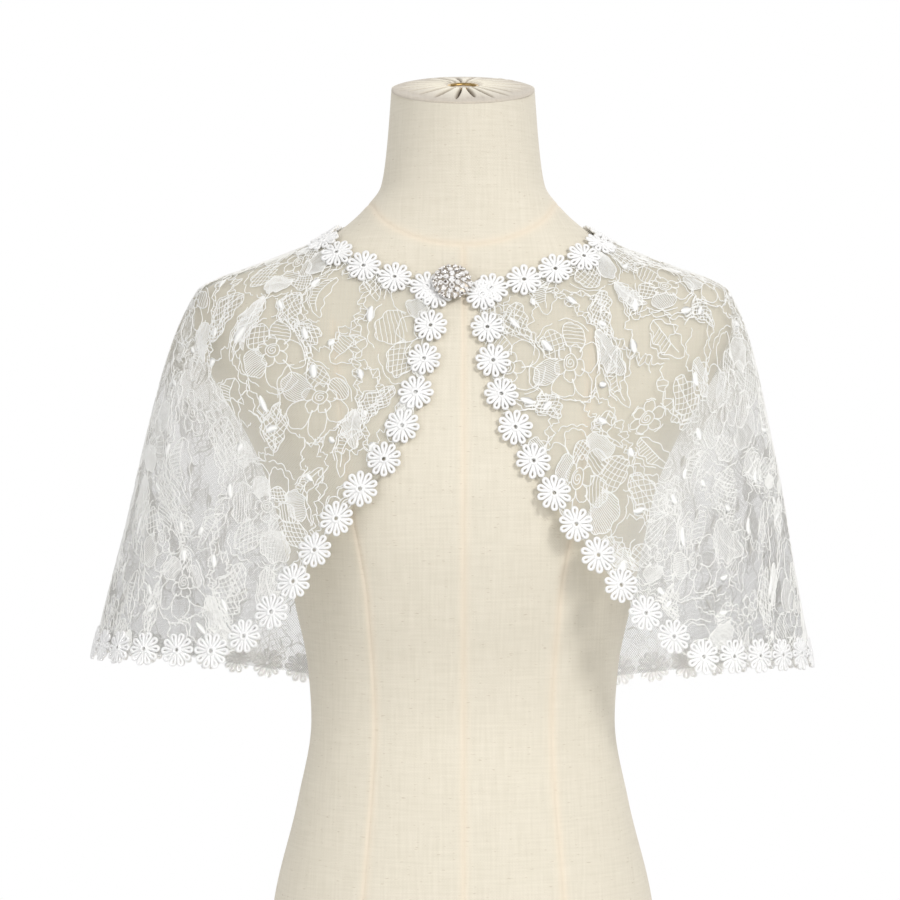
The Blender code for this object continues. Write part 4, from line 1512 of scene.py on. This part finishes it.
def daisiesAlong(path, sign, margin, pitch, settings):
    # evenly spaced daisies: azimuths, shares and their two directions
    points = capePoints(*path)
    length = runLengths(points)
    last = length[-1] - margin
    pitches = np.linspace(pitch, settings["stretch"] * pitch, 80)
    fits = [evenLengths(points, length, margin, last, wider) for wider in pitches]
    at = min((fit for fit in fits if len(fit) == len(fits[0])), key=lambda fit: last - fit[-1])

    def spot(lengths):
        return [np.interp(lengths, length, values) for values in path]

    along = unit(capePoints(*spot(at + pitch / 2)) - capePoints(*spot(at - pitch / 2)))
    places = spot(at)
    return *places, along, inwardFrom(along, *places, sign)


def outerEdge():
    # from the left neck corner down the left front, round the hem and up the right front
    down = np.linspace(0, 1, 100)
    left = leftFrontEdge(down) - fullTurn
    right = rightFrontEdge(down) - fullTurn
    hem = np.linspace(left[-1], right[-1], 400)[1:-1]
    return np.concatenate([left, hem, right[::-1]]), np.concatenate([down, np.ones(len(hem)), down[::-1]])


def makeChain(name, daisies, shape, chance, settings):
    # the daisies lie in a straight row first, far apart, and are then set on the cape one by one
    azimuths, shares, along, inward = daisies
    count = len(azimuths)
    apart = 0.1
    none = np.zeros(count)
    turns = chance.uniform(-1, 1, count) * settings["turnRange"]
    sizes = 1 + chance.uniform(-1, 1, count) * settings["sizeRange"]
    row = np.column_stack([apart * np.arange(count), none, none])
    piece = scatter(
        "daisies_" + name,
        shape,
        row,
        daisyWhite,
        facing=np.column_stack([none, none, none + 1]),
        along=np.column_stack([polar(1.0, turns), none]),
        size=np.column_stack([settings["touching"] * sizes, sizes, none + 1]),
    )
    points = meshPoints(piece)
    which = np.rint(points[:, 0] / apart).astype(int)
    local = points - row[which]
    target = local[:, :1] * along[which] + local[:, 1:2] * inward[which]
    spots = offsetOnCape(azimuths[which], shares[which], target)
    rise = cape["shellLift"] + settings["lift"] + local[:, 2]
    movePoints(piece, capePoints(*spots) + rise[:, None] * capeNormals(*spots))
    piece.data.shade_smooth()
    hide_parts("trim_" + name)
    print(f"{name}: {count} daisies, {len(piece.data.polygons)} faces")
    return piece


def makeTrims(settings):
    chance = np.random.default_rng(settings["seed"])
    shape = makeDaisyShape(settings)
    neckAzimuths = np.linspace(leftFrontEdge(0) - fullTurn, rightFrontEdge(0) - fullTurn, 400)
    neckPath = insetPath(neckAzimuths, np.zeros(len(neckAzimuths)), -1, settings["inset"])
    neckChain = daisiesAlong(neckPath, -1, settings["neckStart"], settings["neckPitch"], settings)
    outerPath = insetPath(*outerEdge(), 1, settings["inset"])
    rest = daisiesAlong(outerPath, 1, settings["frontStart"], settings["pitch"], settings)
    front = settings["frontCount"]
    chains = {
        "neck": neckChain,
        "front_left": [values[:front] for values in rest],
        "hem": [values[front:-front] for values in rest],
        "front_right": [values[-front:] for values in rest],
    }
    made = {name: makeChain(name, chain, shape, chance, settings) for name, chain in chains.items()}
    bpy.data.objects.remove(shape)
    return made


trims = makeTrims(daisy)


# jewelled button on the corner daisies

button = {
    "radius": 0.0140,
    "footRadius": 0.0110,
    "rimHeight": 0.0016,
    "height": 0.0062,
    "x": -0.0085,
    "share": 0.022,
    "seat": 0.0045,
    "stones": (  # ring radius, stones, stone radius
        (0.0, 1, 0.0029),
        (0.0051, 6, 0.0023),
        (0.0092, 11, 0.0022),
        (0.0128, 16, 0.0018),
    ),
    "beads": (  # ring radius, beads, bead radius
        (0.0070, 9, 0.0009),
        (0.0111, 15, 0.0009),
        (0.0140, 22, 0.0011),
    ),
    "stoneShape": ((0.92, -0.35, 0), (1.0, 0.05, 0), (0.80, 0.38, 0.5), (0.50, 0.58, 0)),
    "beadShape": ((0.75, -0.66, 0), (1.0, 0.0, 0), (0.75, 0.66, 0), (0.25, 0.97, 0)),
    "stoneRoom": 0.0012,
    "stoneSink": 0.0004,
    "lean": 0.85,
    "baseSteps": 96,
    "plate": ((0.97, 0.6), (1.0, 1.0)),  # shares of the radius and of the rim's height
    "dome": np.linspace(0.97, 0.03, 14),  # shares of the radius
    "scallops": (0.025, 24),  # depth and number
    "scalloped": 0.9,  # share of the radius where they start
    "seed": 5,
}


def buttonFrame(settings):
    turns = np.linspace(-math.radians(80), math.radians(80), 400)
    row = capePoints(turns, np.full(len(turns), settings["share"]))
    spot = np.array([np.interp(settings["x"], row[:, 0], turns)]), np.array([settings["share"]])
    normal = capeNormals(*spot)[0]
    across = unit(np.cross(normal, (0.0, 0.0, -1.0)))
    turn = np.stack([across, np.cross(normal, across), normal])
    return capePoints(*spot)[0] + settings["seat"] * normal, turn


def domeHeight(radius, settings):
    rim = settings["rimHeight"]
    slope = np.sqrt(np.maximum(0, 1 - (radius / settings["radius"]) ** 2))
    return rim + (settings["height"] - rim - settings["stoneRoom"]) * slope


def ringSpots(rings, settings):
    # points, facings and sizes of what sits in rings on the dome
    points, facing, sizes = [], [], []
    for index, (radius, count, size) in enumerate(rings):
        angles = fullTurn * (np.arange(count) + 0.5 * (index % 2)) / count
        points.append(ringPoints(radius, angles, domeHeight(radius, settings)))
        facing.append(ringPoints(settings["lean"] * radius / settings["radius"], angles, 1.0))
        sizes.append(np.full((count, 3), size))
    return np.vstack(points), unit(np.vstack(facing)), np.vstack(sizes)


def makeSmallShape(name, rings, material, smooth):
    # eight-sided rings: radius, height and the share of a step by which each is turned
    sides = 8
    points = []
    for radius, height, shift in rings:
        points.append(ringPoints(radius, circle(sides) + shift * fullTurn / sides, height))
    return newPiece(name, points, solidFaces(len(rings), sides), material, smooth)


def makeBase(settings):
    # scalloped plate under a dome
    rim, steps = settings["radius"], settings["baseSteps"]
    depth, number = settings["scallops"]
    angles = circle(steps)
    profile = [(settings["footRadius"], 0.0)]
    profile += [(reach * rim, height * settings["rimHeight"]) for reach, height in settings["plate"]]
    for radius in rim * settings["dome"]:
        profile.append((radius, domeHeight(radius, settings) - settings["stoneSink"]))
    scallop = 1 + depth * np.cos(number * angles)
    reaches = [radius * scallop if radius > settings["scalloped"] * rim else radius for radius, _ in profile]
    rings = [ringPoints(reach, angles, height) for reach, (_, height) in zip(reaches, profile)]
    return newPiece("jewelled_button", rings, solidFaces(len(rings), steps), darkSilver)


def makeButton(settings):
    origin, turn = buttonFrame(settings)
    pieces = [makeBase(settings)]
    for label, finish in (("stone", crystal), ("bead", silver)):
        shape = makeSmallShape(label + "Shape", settings[label + "Shape"], finish, label == "bead")
        points, facing, sizes = ringSpots(settings[label + "s"], settings)
        sideways = np.tile((1.0, 0.0, 0.0), (len(points), 1))
        name = f"button_{label}s"
        pieces.append(scatter(name, shape, points, finish, facing=facing, along=sideways, size=sizes))
        bpy.data.objects.remove(shape)
    chance = np.random.default_rng(settings["seed"])
    stones = pieces[1]
    # a random painted reflection for each facet
    addAttribute(stones, "facetShade", chance.uniform(0, 1, len(stones.data.polygons)), "FACE")
    for piece in pieces:
        movePoints(piece, origin + meshPoints(piece) @ turn)
    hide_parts("button")
    print("button made")
    return pieces


buttonPieces = makeButton(button)


# stage, light and camera

studio = {
    "cameraPlace": (-0.010, -2.2, 0.437),
    "fieldOfView": math.radians(17.88),
    "floorRadius": 0.68,
    "floorSolid": 0.24,
    "floorDrop": 0.0005,
    "floorLook": {"dark": (0.90, 0.90, 0.90), "light": (0.93, 0.93, 0.93), "noise": 8.0, "roughness": 0.9},
    "floorFade": 0.8,  # share of the radius where the floor has gone
    "worldLight": 0.69,
    "lightColour": (1.0, 0.985, 0.965),
    "lights": (  # name, place, target, width, spread in degrees, power
        ("key", (1.3, -1.9, 1.6), (0.0, 0.0, 0.40), 0.6, 180, 28),
        ("fill", (-1.6, -1.7, 0.9), (0.0, 0.0, 0.38), 1.4, 180, 9),
        ("low", (0.12, -1.9, 0.06), (0.0, -0.08, 0.25), 0.5, 26, 0.105),
        ("underLeft", (-0.32, -0.9, 0.03), (-0.18, 0.13, 0.26), 0.1, 9, 0.013),
        ("underRight", (0.30, -0.9, 0.03), (0.16, 0.13, 0.26), 0.1, 9, 0.013),
        ("back", (0.2, 1.8, 1.5), (0.0, 0.0, 0.40), 1.6, 180, 15.5),
    ),
}


def makeFloor(settings):
    # pale ground that fades out before its edge
    look = settings["floorLook"]
    made, tree, shader = newMaterial("pale_floor", look)
    place = coordinates(tree)
    away = addNode(tree, "ShaderNodeVectorMath", {0: place}, operation="LENGTH").outputs["Value"]
    radius = settings["floorRadius"]
    gone = settings["floorFade"] * radius
    limits = {"From Min": settings["floorSolid"], "From Max": gone, "To Min": 1.0, "To Max": 0.0}
    fade = addNode(tree, "ShaderNodeMapRange", {"Value": away, **limits}, interpolation_type="SMOOTHSTEP")
    pale = blendColours(tree, noiseNode(tree, place, look["noise"])["Fac"], look["dark"], look["light"])
    connect(tree, shader, {"Alpha": fade.outputs["Result"], "Base Color": pale})
    angles = circle(64)
    ring = ringPoints(radius, angles, -settings["floorDrop"])
    newPiece("floor", ring, [range(len(angles))], made, smooth=False)


def makeLights(settings):
    for name, place, target, width, spread, power in settings["lights"]:
        lamp = bpy.data.lights.new(name, "AREA")
        lamp.size = width
        lamp.spread = math.radians(spread)
        lamp.energy = power
        lamp.color = settings["lightColour"]
        holder = placeObject(name, lamp)
        holder.location = place
        holder.rotation_euler = (Vector(target) - Vector(place)).to_track_quat("-Z", "Y").to_euler()


def makeWorld(settings):
    # white behind the object, and a softer grey white for its light
    world = bpy.data.worlds.new("studio")
    world.use_nodes = True
    tree = world.node_tree
    ray = addNode(tree, "ShaderNodeLightPath").outputs["Is Camera Ray"]
    limits = {"Value": ray, "To Min": settings["worldLight"], "To Max": 1.0}
    strength = addNode(tree, "ShaderNodeMapRange", limits).outputs["Result"]
    connect(tree, tree.nodes["Background"], {"Color": (1.0, 1.0, 1.0), "Strength": strength})
    bpy.context.scene.world = world


def makeCamera(settings):
    lens = bpy.data.cameras.new("camera")
    lens.angle = settings["fieldOfView"]
    holder = placeObject("camera", lens)
    holder.location = settings["cameraPlace"]
    holder.rotation_euler = (0.5 * math.pi, 0.0, 0.0)
    bpy.context.scene.camera = holder


for makeStagePart in (makeFloor, makeLights, makeWorld, makeCamera):
    makeStagePart(studio)
bpy.context.scene.view_settings.view_transform = "Standard"
print("stage, lights and camera ready")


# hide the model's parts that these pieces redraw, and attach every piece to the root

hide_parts("form_torso")
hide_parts("form_neck_cap")
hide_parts("form_cap_eyelet")
slots = [(formPiece, "linen"), (capPiece, "cap_linen"), (eyeletPiece, "eyelet_brass")]
slots += [(piece, "crystal") for piece in buttonPieces]
slots += [(piece, "trim_thread") for piece in trims.values()]
for panelName, panelFacts in panels.items():
    cloth = panelFacts["piece"]
    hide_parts(panelFacts["node"])
    onCloth = list(panelFacts["parts"])
    onCloth += [trims[panelName]] if panelName in trims else [trims["neck"], trims["hem"]]
    slots += [(piece, "lace") for piece in [cloth] + panelFacts["parts"]]
for piece, slotName in slots:
    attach(piece, "root")
